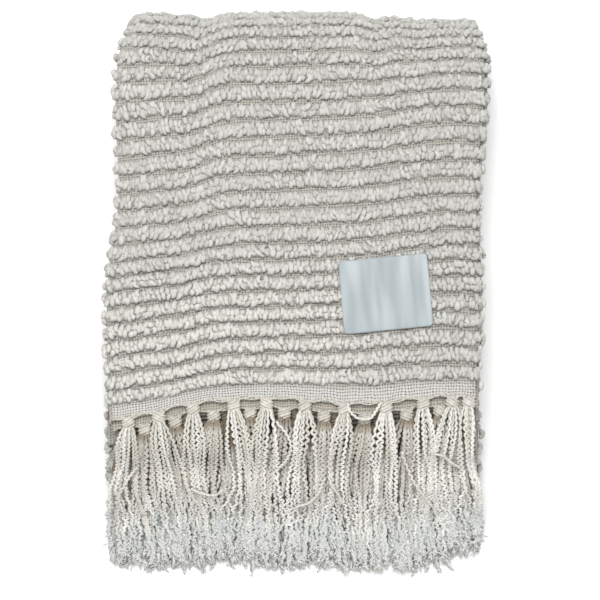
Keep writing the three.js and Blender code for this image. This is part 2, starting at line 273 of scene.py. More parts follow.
# %% From a place on the cloth to a place in the room
def stack_place(v, h):
    """Side view of the folds: a length along the cloth and a height in the pack give y and z."""
    y = np.zeros_like(v)
    z = np.zeros_like(v)
    for start, run in zip(RUN_STARTS, RUNS):
        f = (v - start) / run["length"]
        here = (v >= start) | (start == 0)
        if "turn" in run:
            turn = TURNS[run["turn"]]
            radius = turn["radius"] + turn["grow"] * h
            run_y = turn["y"] + turn["side"] * (radius + turn["stretch"]) * np.sin(np.pi * f)
            run_z = turn["z"] + turn["side"] * turn["grow"] * radius * np.cos(np.pi * f)
        else:
            layer = LAYERS[run["layer"]]
            run_y = run["from"] + (run["to"] - run["from"]) * f
            run_z = layer["middle"] + layer["up"] * h
        y = np.where(here, run_y, y)
        z = np.where(here, run_z, z)
    return y, z


def across_place(across):
    """Place, height, outward direction and ply number at a width of cloth."""
    columns = [np.interp(across, SECTION_WIDTHS, column) for column in SECTION.T]
    columns[0] = columns[0] - np.minimum(across, 0) + np.maximum(across - WIDTH, 0)
    return columns


def cloth_point(across, along, lift):
    """Points of the folded cloth, in millimetres, lift being the height above its middle."""
    across, along, lift = np.broadcast_arrays(*[np.asarray(v, float) for v in (across, along, lift)])
    x, h, side, up, ply = across_place(across)
    y, z = stack_place(along + slip(x, ply, along), h + up * lift)
    on_top = np.clip(1 - 2 * ply, 0, 1) * (along < BACK - HEM)
    return settle(x + side * lift, y, z - trough(x, y) * on_top)


print("middle of the top hem, in mm:", np.round(cloth_point(PLIES[0]["from"], 0, 0), 1))

# %% [markdown]
# ## The fringe's knots
# At the end of the cloth the warp ends are gathered in bunches and tied with an overhand knot. Each
# knot pulls the hem towards it, so the hem needs the knots' places before it is made. They are
# uneven, as tied by hand.

# %% Places of the knots across the two upper plies
TOP_KNOTS = np.array([-145, -118, -87.5, -52, -23.5, 10, 44.7, 81.3, 113.9, 139.3, 154])
NEXT_KNOTS = np.array([-131, -104, -70, -38, -8, 27, 63, 100, 129, 148])
PINCH = {"depth": 13, "across": -1.8, "along": -1.1}


def pinch(x, along, knots):
    """Pull of the knots on the hem, sideways and along the cloth."""
    phase = 2 * np.pi * np.interp(x, knots, np.arange(len(knots)))
    fade = np.clip(1 - along / PINCH["depth"], 0, 1) ** 2
    return np.stack([PINCH["across"] * np.sin(phase) * fade, PINCH["along"] * np.cos(phase) * fade], axis=-1)


print("knots on the top ply:", len(TOP_KNOTS), "and on the next:", len(NEXT_KNOTS))

# %% [markdown]
# ## The woven ground
# Between the ribs the cloth is an open plain weave. A grid is the natural start: its rows and columns
# become lengths and widths of cloth, each corner is carried through the folds, and Solidify gives the
# sheet its thickness. The grid's own map keeps the flat cloth's coordinates, so the weave follows the
# yarn wherever the cloth goes.

# %% Rows and columns of the sheet
HEM_ROWS = 9
ROW_GAP = 2


def merged(marks):
    """Marks in order, without doubles."""
    return np.unique(np.round(np.concatenate(marks), 4))


def rows_along():
    """Lengths of cloth at the sheet's rows, closest at the two hems."""
    hem = np.linspace(0, PINCH["depth"], HEM_ROWS)
    clear = PINCH["depth"] + ROW_GAP
    marks = [hem, TOTAL - hem]
    for start, run in zip(RUN_STARTS, RUNS):
        steps = np.linspace(start, start + run["length"], run["rows"] + 1)
        marks.append(steps[(steps > clear) & (steps < TOTAL - clear)])
    return merged(marks)


def ply_span(k):
    """Widths of cloth where a ply starts and ends."""
    widths = SECTION_WIDTHS[PLY_NUMBERS == k]
    return widths[0], widths[-1]


def columns_across():
    """Widths of cloth at the sheet's columns, closest on the top ply."""
    in_folds = SECTION_WIDTHS[PLY_NUMBERS % 1 > 0]
    return merged([np.linspace(*ply_span(k), ply["columns"]) for k, ply in enumerate(PLIES)] + [in_folds])


ROWS = rows_along()
COLUMNS = columns_across()
print("rows and columns of the sheet:", len(ROWS), len(COLUMNS))

# %% Helpers that start and finish a sheet
def fresh():
    """Leave edit mode and deselect everything, so that the next operator acts on its own piece alone."""
    if bpy.context.object and bpy.context.object.mode != "OBJECT":
        bpy.ops.object.mode_set(mode="OBJECT")
    bpy.ops.object.select_all(action="DESELECT")


def triangles(piece):
    piece.data.calc_loop_triangles()
    return len(piece.data.loop_triangles)


def grid_sheet(name, columns, rows):
    """A grid one unit wide round the origin, and the flat places of its points."""
    fresh()
    bpy.ops.mesh.primitive_grid_add(x_subdivisions=columns, y_subdivisions=rows, size=1)
    sheet = bpy.context.object
    sheet.name = name
    places = np.zeros(len(sheet.data.vertices) * 3)
    sheet.data.vertices.foreach_get("co", places)
    return sheet, places.reshape(-1, 3)[:, :2]


def finish_sheet(sheet, places, thick, map_name):
    """Move the points to their places, name the map, and give the sheet its thickness."""
    sheet.data.vertices.foreach_set("co", (places * MM).ravel())
    sheet.data.uv_layers[0].name = map_name
    thickness = sheet.modifiers.new("thickness", "SOLIDIFY")
    thickness.thickness = thick * MM
    thickness.offset = 0
    fresh()
    bpy.context.view_layer.objects.active = sheet
    sheet.select_set(True)
    bpy.ops.object.modifier_apply(modifier=thickness.name)
    bpy.ops.object.shade_smooth()
    print(sheet.name + ":", triangles(sheet), "triangles")


# %% The folded sheet
GROUND_THICK = 1.4
WARP_PITCH = 2.5
WEFT_PITCH = 2.15
NEAR_PLY = 0.4
throw_weave, flat = grid_sheet("throw_weave", len(COLUMNS) - 1, len(ROWS) - 1)
across = COLUMNS[np.rint((flat[:, 0] + 0.5) * (len(COLUMNS) - 1)).astype(int)]
along = ROWS[np.rint((flat[:, 1] + 0.5) * (len(ROWS) - 1)).astype(int)]
folded = cloth_point(across, along, 0)
x_of_point, _, _, _, ply_of_point = across_place(across)
for ply, knots in enumerate((TOP_KNOTS, NEXT_KNOTS)):
    on_ply = np.abs(ply_of_point - ply) < NEAR_PLY
    folded[:, :2] += pinch(x_of_point, along, knots) * on_ply[:, None]
corners = np.zeros(len(throw_weave.data.loops), int)
throw_weave.data.loops.foreach_get("vertex_index", corners)
threads = np.stack([across[corners] / WARP_PITCH, along[corners] / WEFT_PITCH], axis=-1)
throw_weave.data.uv_layers[0].data.foreach_set("uv", threads.ravel())
finish_sheet(throw_weave, folded, GROUND_THICK, "threads")

# %% [markdown]
# ## Yarn
# Loops, strands, knots and hem cords are all lengths of yarn. There are thousands, so each kind is made
# as one joined mesh: rings of points are set round many centre lines at once and neighbouring rings are
# joined by faces. A curve object with a round bevel would look the same, but it would be slower and
# could not carry a tone for each yarn.

# %% Directions and lengths along many centre lines at once
STEEP = 0.8


def unit(v):
    return v / np.maximum(np.linalg.norm(v, axis=-1, keepdims=True), 1e-9)


def lengths_along(points):
    """Length of a line of points up to each of them."""
    steps = np.linalg.norm(np.diff(points, axis=-2), axis=-1)
    return np.concatenate([np.zeros_like(steps[..., :1]), np.cumsum(steps, axis=-1)], axis=-1)


def frames_along(lines):
    """Two directions square to each centre line, carried along it without twisting."""
    ahead = unit(np.gradient(lines, axis=1))
    helper = np.where(np.abs(ahead[:, :1, 2:]) < STEEP, [[[0.0, 0, 1]]], [[[1.0, 0, 0]]])
    first = [unit(np.cross(ahead[:, 0], helper[:, 0]))]
    for k in range(1, lines.shape[1]):
        last = first[-1]
        first.append(unit(last - (last * ahead[:, k]).sum(-1, keepdims=True) * ahead[:, k]))
    first = np.stack(first, axis=1)
    return first, np.cross(ahead, first)


print("length of a line of 3 across and 4 along:", lengths_along(np.array([[0, 0], [3, 4]]))[-1])

# %% Faces and maps of the tubes
def tube_faces(count, rings, sides, reach):
    """Corners of all faces, the corner each face starts at, and the map: length along and turn round."""
    yarn, k, j = np.meshgrid(np.arange(count), np.arange(rings - 1), np.arange(sides), indexing="ij")
    near = (yarn * rings + k) * sides
    far = near + sides
    beside = (j + 1) % sides
    quads = np.stack([near + j, near + beside, far + beside, far + j], axis=-1)
    near_reach = reach[yarn, k]
    far_reach = reach[yarn, k + 1]
    left = j / sides
    right = (j + 1) / sides
    uv = np.stack([near_reach, left, near_reach, right, far_reach, right, far_reach, left], axis=-1)
    first_point = np.arange(count)[:, None] * rings * sides
    tail = first_point + np.arange(sides)[::-1]
    head = first_point + (rings - 1) * sides + np.arange(sides)
    caps = np.concatenate([tail, head])
    corners = np.concatenate([quads.ravel(), caps.ravel()])
    starts = np.concatenate([np.arange(near.size) * 4, quads.size + np.arange(len(caps)) * sides])
    return corners, starts, np.concatenate([uv.reshape(-1, 2), np.zeros((caps.size, 2))])


print("faces of a six-sided yarn of three rings:", len(tube_faces(1, 3, 6, np.zeros((1, 3)))[1]))

# %% Many yarns as one piece
FLOOR_AIR = 0.02


def yarn_piece(name, lines, radii, sides, tone, root, squash=1.0):
    """One mesh of yarns: centre lines in millimetres, radii, and a tone and a depth for the colours, the
    depth being painted shade above zero and a second painted colour below it.
    """
    count, rings = lines.shape[:2]
    first, second = frames_along(lines)
    angle = np.arange(sides) * 2 * np.pi / sides
    wide = np.cos(angle)[:, None]
    high = np.sin(angle)[:, None] * squash
    ring = wide * first[:, :, None] + high * second[:, :, None]
    points = lines[:, :, None] + np.broadcast_to(radii, (count, rings))[..., None, None] * ring
    points[..., 2] = np.maximum(points[..., 2], FLOOR_AIR)
    corners, starts, uv = tube_faces(count, rings, sides, lengths_along(lines))
    mesh = bpy.data.meshes.new(name)
    mesh.vertices.add(count * rings * sides)
    mesh.vertices.foreach_set("co", (points * MM).astype(np.float32).ravel())
    mesh.loops.add(len(corners))
    mesh.loops.foreach_set("vertex_index", corners.astype(np.int32))
    mesh.polygons.add(len(starts))
    mesh.polygons.foreach_set("loop_start", starts.astype(np.int32))
    mesh.update(calc_edges=True)
    mesh.polygons.foreach_set("use_smooth", np.ones(len(starts), bool))
    mesh.uv_layers.new(name="yarn").data.foreach_set("uv", uv.astype(np.float32).ravel())
    # The root value carries painted shade above zero; below zero it brings in the yarn's second painted
    # colour.
    for key, value in (("tone", tone), ("root", root)):
        spread = np.zeros((count, rings, sides)) + np.asarray(value, float)[..., None]
        kept = mesh.attributes.new(key, "FLOAT", "POINT")
        kept.data.foreach_set("value", spread.astype(np.float32).ravel())
    mesh.validate()
    piece = bpy.data.objects.new(name, mesh)
    bpy.context.scene.collection.objects.link(piece)
    print(name + ":", count, "yarns,", triangles(piece), "triangles")
    return piece


def joined(pieces):
    """Several pieces as one, under the name of the first."""
    fresh()
    for piece in pieces:
        piece.select_set(True)
    bpy.context.view_layer.objects.active = pieces[0]
    if len(pieces) > 1:
        bpy.ops.object.join()
    return pieces[0]


print("yarns are kept", FLOOR_AIR, "mm above the floor")

# %% [markdown]
# ## The boucle ribs
# Boucle yarn is spun with a thread that is fed too fast, so it stands off in loops. Laid in as a fat
# weft it gives ribs that look like rows of curls. Each rib here has a soft core, and fat curved loops
# lie over it close together, leaning both ways. A displaced surface would give lumps, but no loops that
# overlap and shade each other.

# %% Rows of ribs along the cloth
RIB_ROWS = [
    {"count": 9, "pitch": 13.4},
    {"count": 10, "pitch": 15.3},
    {"count": 6, "pitch": 12.6},
    {"count": 80, "pitch": 14.4},
]
FIRST_RIB = 13
LAST_GAP = 5


def rib_table():
    """Middle and pitch of every rib from the top hem to the second hem."""
    rows = []
    at = FIRST_RIB
    for group in RIB_ROWS:
        for _ in range(group["count"]):
            rows.append((at + group["pitch"] / 2, group["pitch"]))
            at += group["pitch"]
    table = np.array(rows)
    return table[table[:, 0] < TOTAL - FIRST_RIB - LAST_GAP]


def ribs_between(start, end):
    return RIBS[(RIBS[:, 0] > start) & (RIBS[:, 0] <= end)]


RIBS = rib_table()
print("ribs:", len(RIBS), "from the first hem to the second")

# %% Ribs are pressed flat under the label
LABEL = {"x": 79, "y": 2, "width": 77, "height": 63, "turn": 0.1, "lift": 1.0, "thick": 0.5}
PRESSED = {"lift": 1.9, "margin": 1}


def under_label(across, along, lift, radii):
    """Lower the loops that lie under the label."""
    x = PLIES[0]["from"] - across
    y = HEM + along + rise(x, HEM + along)
    a, b = turned(LABEL, x, y)
    beside = np.abs(a) < LABEL["width"] / 2 + PRESSED["margin"]
    within = np.abs(b) < LABEL["height"] / 2 + PRESSED["margin"]
    return np.where(beside & within, np.minimum(lift, PRESSED["lift"] - radii), lift)


print("label in mm:", LABEL["width"], "by", LABEL["height"])

# %% Where the loops of some ribs lie
LOOP_STEP = (0.85, 1.15)
SPARE_LOOPS = 3
ROW_WAVE = {"long": (13, 19), "short": 7}
ANY_PHASE = (0, 6)


def loop_places(rng, ribs, start, end, spacing):
    """Where loops lie: place across, middle of their rib, its pitch and the wave of the row there."""
    rows = []
    for middle, pitch in ribs:
        count = int(np.ceil((end - start) / spacing)) + SPARE_LOOPS
        steps = spacing * rng.uniform(*LOOP_STEP, count)
        places = start + rng.uniform(0, spacing) + np.cumsum(steps) - spacing
        places = places[places < end]
        long_wave = np.sin(places / rng.uniform(*ROW_WAVE["long"]) + rng.uniform(*ANY_PHASE))
        short_wave = np.sin(places / ROW_WAVE["short"] + rng.uniform(*ANY_PHASE))
        of_rib = np.full((len(places), 2), (middle, pitch))
        rows.append(np.column_stack([places, of_rib, long_wave + short_wave]))
    return np.concatenate(rows)


def varying(rng, count):
    """A function that draws one value for each of a number of yarns."""

    def vary(low, high):
        return rng.uniform(low, high, (count, 1))

    return vary


print("a row's waves repeat at the most every", round(2 * np.pi * ROW_WAVE["long"][1]), "mm")

# %% Curled loops over the ribs
RIB_HALF = 0.5
LOOP = {
    "half": (0.15, 0.25),
    "radius": (1.8, 2.7),
    "slub": 0.7,
    "slub_share": 0.15,
    "lean": 0.4,
    "lean_wave": 0.2,
    "bend": 1.8,
    "bend_wave": 0.9,
    "row": 0.145,
    "row_stray": 0.1,
    "row_wave": 0.03,
    "lift": (-1.0, 0.8),
    "swell": 0.5,
    "swell_step": 2.1,
    "taper": 0.8,
    "tone": (0.1, 0.9),
}
# Painted shade at the ribs' margins, stronger towards the hem.
RIB_MARGIN_PAINTED_SHADE = {"depth": 0.55, "in_front": 0.15, "limit": 1.2}
# Painted light: ribs are painted lighter and yellower towards the hem and the left, as if lit more there.
PAINTED_WARM_LIGHT = {
    "most": 0.55,
    "along_to": 200,
    "along_over": 140,
    "less_right": 0.7,
    "right_over": 150,
    "uneven": (0.7, 1.2),
}


def ridge(offset, pitch, high):
    """Height of a rib's rounded body at a distance from its middle."""
    return high * np.sqrt(np.clip(1 - (offset / (RIB_HALF * pitch)) ** 2, 0, 1))


def loops_over(rng, places, rings, high, side, painted_light_added):
    """Plump curls, two to a rib's height, in cloth coordinates, with radii, tones and depths of painted shade
    and light.
    """
    across, middle, pitch, wave = places.T[:, :, None]
    vary = varying(rng, len(across))
    t = np.linspace(-1, 1, rings)[None]
    half = pitch * vary(*LOOP["half"])
    radius = vary(*LOOP["radius"]) + LOOP["slub"] * (vary(0, 1) < LOOP["slub_share"])
    lean = LOOP["lean_wave"] * wave + vary(-LOOP["lean"], LOOP["lean"])
    bend = LOOP["bend_wave"] * wave + vary(-LOOP["bend"], LOOP["bend"])
    row = np.where(np.arange(len(across)) % 2, 1, -1)[:, None]
    shift = LOOP["row"] * row + LOOP["row_stray"] * vary(-1, 1) + LOOP["row_wave"] * wave
    offset = pitch * shift + half * t * np.cos(lean)
    at_across = across + half * t * np.sin(lean) + bend * (1 - t * t)
    swell = LOOP["swell"] * np.sin(across / LOOP["swell_step"] + middle)
    lift = ridge(offset, pitch, high) + swell + vary(*LOOP["lift"])
    radii = radius * np.sqrt(1 - (LOOP["taper"] * t) ** 2)
    tone = vary(*LOOP["tone"])
    in_front = smooth((PAINTED_WARM_LIGHT["along_to"] - middle) / PAINTED_WARM_LIGHT["along_over"])
    to_left = 1 - PAINTED_WARM_LIGHT["less_right"] * smooth(1 - across / PAINTED_WARM_LIGHT["right_over"])
    # Painted light, as a negative depth that brings in the lighter, yellower colour.
    painted_light_share = painted_light_added + PAINTED_WARM_LIGHT["most"] * in_front * to_left
    # Loops are painted darker towards the rib's margins: painted shade.
    painted_shade = np.clip(np.abs(offset) / (RIB_HALF * pitch), 0, RIB_MARGIN_PAINTED_SHADE["limit"]) ** 2
    deep = RIB_MARGIN_PAINTED_SHADE["depth"] + RIB_MARGIN_PAINTED_SHADE["in_front"] * in_front
    depth = deep * painted_shade - painted_light_share * vary(*PAINTED_WARM_LIGHT["uneven"])
    return at_across, middle + offset, side * lift, radii, tone, depth


print("loop radius in mm:", LOOP["radius"][0], "to", LOOP["radius"][1] + LOOP["slub"])

# %% Cores and ends of the ribs
# The cores' depth paints them a little darker: painted shade between the curls.
CORE = {"from": 2.0, "step": 3.6, "sway": 0.5, "thick": (0.55, 0.85), "tone": (0, 0.7), "depth": 0.5}
CORE_SIDES = 6
CORE_ROUND = 5.0
ENDS = {
    "loops": 7,
    "from": 0.2,
    "to": 2.7,
    "stagger": 0.25,
    "inset": 1.5,
    "out": 2.2,
    "jut": (0.5, 1),
    "shift": 0.2,
    "half": (0.14, 0.24),
    "radius": (1.9, 2.6),
    "taper": 0.82,
    "depth": 0.3,
}
JUTS = [
    {"y": 170, "reach": 34, "out": 3},
    {"y": 182, "reach": 8, "out": 3},
    {"y": 118, "reach": 8, "out": 5},
    {"y": -38, "reach": 13, "out": 5},
    {"y": 14, "reach": 9, "out": 2.5},
]


def rib_cores(rng, ribs, end):
    """The lumpy body under the loops, one length of yarn a rib."""
    at = np.arange(CORE["from"], end, CORE["step"])[None]
    middle, pitch = ribs.T[:, :, None]
    shape = (len(ribs), at.shape[1])
    sway = rng.uniform(-CORE["sway"], CORE["sway"], shape)
    radii = RIB_HALF * pitch * rng.uniform(*CORE["thick"], shape)
    tone = rng.uniform(*CORE["tone"], shape)
    return at + 0 * sway, middle + sway, 0 * sway, radii, tone, CORE["depth"]


def rib_ends(rng, ribs, rings, high):
    """Loops gathered round the selvedge end of each rib, further out where the plies jut."""
    middle, pitch = np.repeat(ribs, ENDS["loops"], axis=0).T[:, :, None]
    vary = varying(rng, len(middle))
    t = np.linspace(-1, 1, rings)[None]
    turns = np.tile(np.linspace(ENDS["from"], ENDS["to"], ENDS["loops"]), len(ribs))[:, None]
    turn = turns + vary(-ENDS["stagger"], ENDS["stagger"])
    jut = sum(bump["out"] * np.exp(-(((HEM + middle - bump["y"]) / bump["reach"]) ** 2)) for bump in JUTS)
    out = ENDS["out"] + jut * vary(*ENDS["jut"])
    offset = pitch * vary(-ENDS["shift"], ENDS["shift"]) + pitch * vary(*ENDS["half"]) * t
    at_across = ENDS["inset"] - out * np.sin(turn) + vary(-1, 1) * t
    lift = high * np.cos(turn) + 0 * t
    radii = vary(*ENDS["radius"]) * np.sqrt(1 - (ENDS["taper"] * t) ** 2)
    return at_across, middle + offset, lift, radii, vary(0, 1), ENDS["depth"]


print("loops at each rib's end:", ENDS["loops"])

# %% Ribs of the top, of the back turn, of the underside and of the front turn
SEEDS = {"ribs": 11, "edges": 23, "strands": 5, "fibres": 31, "knots": 47}
FIRST_LOOP = -1
PAST_FOLD = 7
ROUND_LEFT = PLIES[0]["from"] - PLIES[0]["to"] + np.pi * FOLD_RADIUS + PAST_FOLD
LOW_RIBS = 133
top_end, back_end, bottom_end, front_end = RUN_STARTS[1:5]
RIB_ZONES = [
    {"name": "boucle_low", "to": LOW_RIBS, "spacing": 1.95, "rings": 6, "sides": 5, "high": 3.6},
    {"name": "boucle_top", "to": top_end, "spacing": 1.95, "rings": 6, "sides": 5, "high": 3.2},
    {"name": "boucle_back", "to": back_end, "spacing": 2.5, "rings": 6, "sides": 5, "high": 3.1},
    {"name": "boucle_under", "to": bottom_end, "spacing": 8.0, "rings": 4, "sides": 4, "high": 0.3},
    {"name": "boucle_front", "to": front_end, "spacing": 3.0, "rings": 5, "sides": 4, "high": 2.6},
]


def boucle(rng, zone, places, ribs=None, side=1, painted_light_added=0.0):
    """The yarn of some ribs: loops, and for whole ribs their cores and ends, joined as one piece."""
    high = zone["high"]
    kinds = [("", loops_over(rng, places, zone["rings"], high, side, painted_light_added), zone["sides"], 1.0)]
    if ribs is not None:
        kinds.append(("_cores", rib_cores(rng, ribs, ROUND_LEFT), CORE_SIDES, high / CORE_ROUND))
        kinds.append(("_ends", rib_ends(rng, ribs, zone["rings"], high), zone["sides"], 1.0))
    pieces = []
    for ending, (across, along, lift, radii, tone, root), sides, squash in kinds:
        lines = cloth_point(across, along, under_label(across, along, lift, radii))
        pieces.append(yarn_piece(zone["name"] + ending, lines, radii, sides, tone, root, squash))
    return joined(pieces)


rng = np.random.default_rng(SEEDS["ribs"])
boucle_pieces = []
start = 0
for zone in RIB_ZONES:
    ribs = ribs_between(start, zone["to"])
    places = loop_places(rng, ribs, FIRST_LOOP, ROUND_LEFT, zone["spacing"])
    whole = ribs if zone["name"] != "boucle_under" else None
    boucle_pieces.append(boucle(rng, zone, places, whole))
    start = zone["to"]

# %% [markdown]
# ## The fold edges
# At the sides each fold shows the ends of its ribs as small round lobes, one above the other. The
# hidden plies need loops only there, so short stretches of rib are wrapped round each fold, and a few
# loops mark each selvedge.

# %% Loops round the folds at the left and at the right
FRINGE_COVER = 75
EDGE = {"spacing": 3.1, "rings": 5, "sides": 4, "high": 2.6}
# Painted light on the fold edges' loops, which lie in the shade of the packs above.
EDGE_PAINTED_LIGHT = 0.15
left_fold, right_fold, low_fold = (np.interp(k + 0.5, PLY_NUMBERS, SECTION_WIDTHS) for k in range(3))
hidden = RIBS[RIBS[:, 0] > front_end]
below_fringe = ribs_between(front_end, front_end + FRINGE_COVER)
EDGE_ROWS = [
    {"ribs": hidden, "at": left_fold, "before": 10, "after": 10, "side": 1},
    {"ribs": RIBS, "at": low_fold, "before": 10, "after": 10, "side": 1},
    {"ribs": RIBS, "at": right_fold, "before": 10, "after": 10, "side": -1},
    {"ribs": hidden, "at": 0, "before": 1, "after": 9, "side": 1},
    {"ribs": RIBS, "at": WIDTH, "before": 9, "after": 1, "side": -1},
    {"ribs": below_fringe, "at": left_fold, "before": 30, "after": -10, "side": 1},
    {"ribs": below_fringe, "at": 0, "before": -9, "after": 30, "side": 1},
]
rng = np.random.default_rng(SEEDS["edges"])
for k, row in enumerate(EDGE_ROWS):
    ends = (row["at"] - row["before"], row["at"] + row["after"])
    places = loop_places(rng, row["ribs"], *ends, EDGE["spacing"])
    zone = {"name": f"boucle_edge_{k + 1}", **EDGE}
    boucle_pieces.append(boucle(rng, zone, places, side=row["side"], painted_light_added=EDGE_PAINTED_LIGHT))

# %% Pale cords along the two upper hem edges
HEM_CORDS = [
    {"ply": 0, "knots": TOP_KNOTS, "along": 0.5, "lift": 0.7},
    {"ply": 0, "knots": TOP_KNOTS, "along": 2.5, "lift": 0.5},
    {"ply": 1, "knots": NEXT_KNOTS, "along": 0.5, "lift": -0.7},
]
# The cords' root value paints them a little darker: painted shade.
CORD = {"rings": 220, "radius": 0.7, "sides": 5, "tone": 0, "root": 0.55}
CORD_SWAY = {"wide": 0.7, "step": 4.1, "fine": 0.5, "fine_step": 2.3}
cords = []
for cord in HEM_CORDS:
    at = np.linspace(*ply_span(cord["ply"]), CORD["rings"])
    sway = CORD_SWAY["wide"] * np.sin(at / CORD_SWAY["step"] + cord["along"])
    sway = sway + CORD_SWAY["fine"] * np.sin(at / CORD_SWAY["fine_step"] + 1)
    line = cloth_point(at, cord["along"] + sway, cord["lift"])
    line[:, :2] += pinch(across_place(at)[0], np.full_like(at, cord["along"]), cord["knots"])
    cords.append(line)
cords = np.array(cords)
hem_cords = yarn_piece("hem_cords", cords, CORD["radius"], CORD["sides"], CORD["tone"], CORD["root"])

# %% [markdown]
# ## The fringe
# Below the knots the warp ends hang free. Each strand is two yarns twisted together, so it is crinkled,
# and its cut end has opened into fibres. The strands of the eight ply ends lie on each other, run over
# the front fold and down to the surface. Hair particles would lie as easily, but strands on known paths
# stay close to the solids of the fringe.

# %% The way of a strand seen from the side
FRINGES = [
    {"name": "top_1", "end": "top", "ply": 0, "knots": TOP_KNOTS, "strands": 7},
    {"name": "top_2", "end": "top", "ply": 1, "knots": NEXT_KNOTS, "strands": 7},
    {"name": "top_3", "end": "top", "ply": 2, "knots": TOP_KNOTS - 6, "strands": 7},
    {"name": "top_4", "end": "top", "ply": 3, "knots": NEXT_KNOTS + 5, "strands": 7},
    {"name": "lower_1", "end": "second", "ply": 3, "knots": TOP_KNOTS - 3, "strands": 7},
    {"name": "lower_2", "end": "second", "ply": 2, "knots": NEXT_KNOTS - 4, "strands": 7},
    {"name": "lower_3", "end": "second", "ply": 1, "knots": NEXT_KNOTS + 3, "strands": 9},
    {"name": "lower_4", "end": "second", "ply": 0, "knots": TOP_KNOTS - 4, "strands": 10},
]
FRINGE_LENGTH = {"longest": 165, "shorter": 3.6, "levelled": 1.3, "spare": 1.06}
FALL = {
    "level_to": -128,
    "least_level": 3,
    "clear": 1.5,
    "pitch": 2.2,
    "angle": 0.8,
    "shares": (0.25, 0.6, 1),
    "floor_pitch": 1.0,
    "floor": 2.2,
}
ROUNDINGS = 3
CUT = 0.25


def fall(rank, y, z):
    """Side view of a strand: level at first, over the front turn, then along the surface."""
    turn = TURNS["front"]
    reach = PACK + FALL["clear"] + (len(FRINGES) - rank - 0.5) * FALL["pitch"]
    path = [(y, z), (min(FALL["level_to"], y - FALL["least_level"]), z)]
    for share in FALL["shares"]:
        a = FALL["angle"] * share
        path.append((turn["y"] - (reach + turn["stretch"]) * np.sin(a), turn["z"] + reach * np.cos(a)))
    floor = FALL["floor"] + (len(FRINGES) - 1 - rank) * FALL["floor_pitch"]
    low_y, low_z = path[-1]
    run = (low_z - floor) / np.tan(FALL["angle"])
    path += [(low_y - run, floor), (low_y - run - FRINGE_LENGTH["longest"], floor)]
    path = np.array(path)
    for _ in range(ROUNDINGS):
        soon = path[:-1] * (1 - CUT) + path[1:] * CUT
        later = path[:-1] * CUT + path[1:] * (1 - CUT)
        path = np.concatenate([path[:1], np.stack([soon, later], 1).reshape(-1, 2), path[-1:]])
    return path


def hem_line(row, x):
    """Place of a ply's end, before settling."""
    layer = LAYERS[row["end"]]
    height = layer["middle"] + layer["up"] * (OUTER_PLY - row["ply"]) * PLY
    return HEM + end_back(row["end"], row["ply"]) + rise(x, HEM), height


print("ply ends with a fringe:", len(FRINGES))

# %% How the tassels lean and where they end
UPPER_ENDS = 2
TASSEL_LEAN = {"x": [-150, -128, -95, -60, -10, 50, 100, 150], "to": [-3, 9, 14, 3, -6, 0, 9, 13]}
TIP_LEVEL = {
    "x": [-171, -153, -135, -80, -61, 12, 49, 95, 115, 140, 159],
    "short": [-13, -11, 2, 9, 11, 1, 0, -7, 0, 15, 22],
}
LOWER_LEAN = 0.06
LOWER_SHORT = 5


def tassel_fall(rank, x):
    """How far a tassel leans, and how much shorter than the longest it is."""
    upper = rank < UPPER_ENDS
    leaning = np.interp(x, TASSEL_LEAN["x"], TASSEL_LEAN["to"]) if upper else LOWER_LEAN * x
    short = np.interp(x + leaning, TIP_LEVEL["x"], TIP_LEVEL["short"])
    return leaning, short if upper else max(short, LOWER_SHORT)


print("lean and shortness of the first tassel, in mm:", np.round(tassel_fall(0, TOP_KNOTS[0]), 1))

# %% How the strands of a tassel spread and crinkle
FAN = {
    "knot": 3.4,
    "bell": (4.6, 6.6),
    "bell_over": 0.2,
    "bell_power": 0.85,
    "widen": 2,
    "flare": 6,
    "flare_from": 0.5,
    "flare_over": 0.4,
}
STRAY_LEAN = {"wide": 9, "share": 0.22}
SWAY = {"lean": 5, "belly": 9, "bend": (0.5, 2.6), "step": (12, 30), "soon": 3}
CRINKLE = {
    "wave": 5.4,
    "pace": (0.7, 1.1),
    "pace_change": 0.1,
    "pace_step": 9,
    "uneven": 0.4,
    "uneven_step": (7, 14),
    "soon": 8,
    "least": 0.2,
    "fade": 0.2,
    "up": 0.2,
}
CURL = {"wide": 0.95, "from": 0.3, "over": 0.5, "step": 2.9, "by_spot": 37, "by_bend": 11}


def spread_strands(rng, vary, x, leaning, swing, spots, f, s):
    """Places across of a knot's strands as they fan out, lean and bend, and how much each one bends."""
    bell = (1 - (1 - np.clip(f / FAN["bell_over"], 0, 1)) ** 2) ** FAN["bell_power"]
    flare = FAN["flare"] * smooth((f - FAN["flare_from"]) / FAN["flare_over"])
    fan = FAN["knot"] + rng.uniform(*FAN["bell"]) * bell + FAN["widen"] * f + flare
    stray = STRAY_LEAN["wide"] * rng.normal(0, 1, spots.shape) * (vary(0, 1) < STRAY_LEAN["share"])
    lean = leaning + rng.uniform(-swing, swing) + vary(-SWAY["lean"], SWAY["lean"]) + stray
    belly = rng.uniform(-SWAY["belly"], SWAY["belly"]) * np.sin(np.pi * f)
    bends = vary(*SWAY["bend"])
    drift = bends * np.sin(s / vary(*SWAY["step"]) + vary(*ANY_PHASE))
    return x + spots * fan + lean * f + belly + drift * np.clip(SWAY["soon"] * f, 0, 1), bends


def crinkle_strands(vary, steps, f, s):
    """Size of the crinkle along the strands, and its turn."""
    pace = vary(*CRINKLE["pace"])
    pace = pace * (1 + CRINKLE["pace_change"] * np.sin(s / CRINKLE["pace_step"] + vary(*ANY_PHASE)))
    turn = np.cumsum(2 * np.pi * pace / steps, axis=1) + vary(*ANY_PHASE)
    uneven = 1 + CRINKLE["uneven"] * np.sin(s / vary(*CRINKLE["uneven_step"]) + vary(*ANY_PHASE))
    size = uneven * np.clip(CRINKLE["soon"] * f, CRINKLE["least"], 1) * (1 - CRINKLE["fade"] * f**3)
    return size, turn


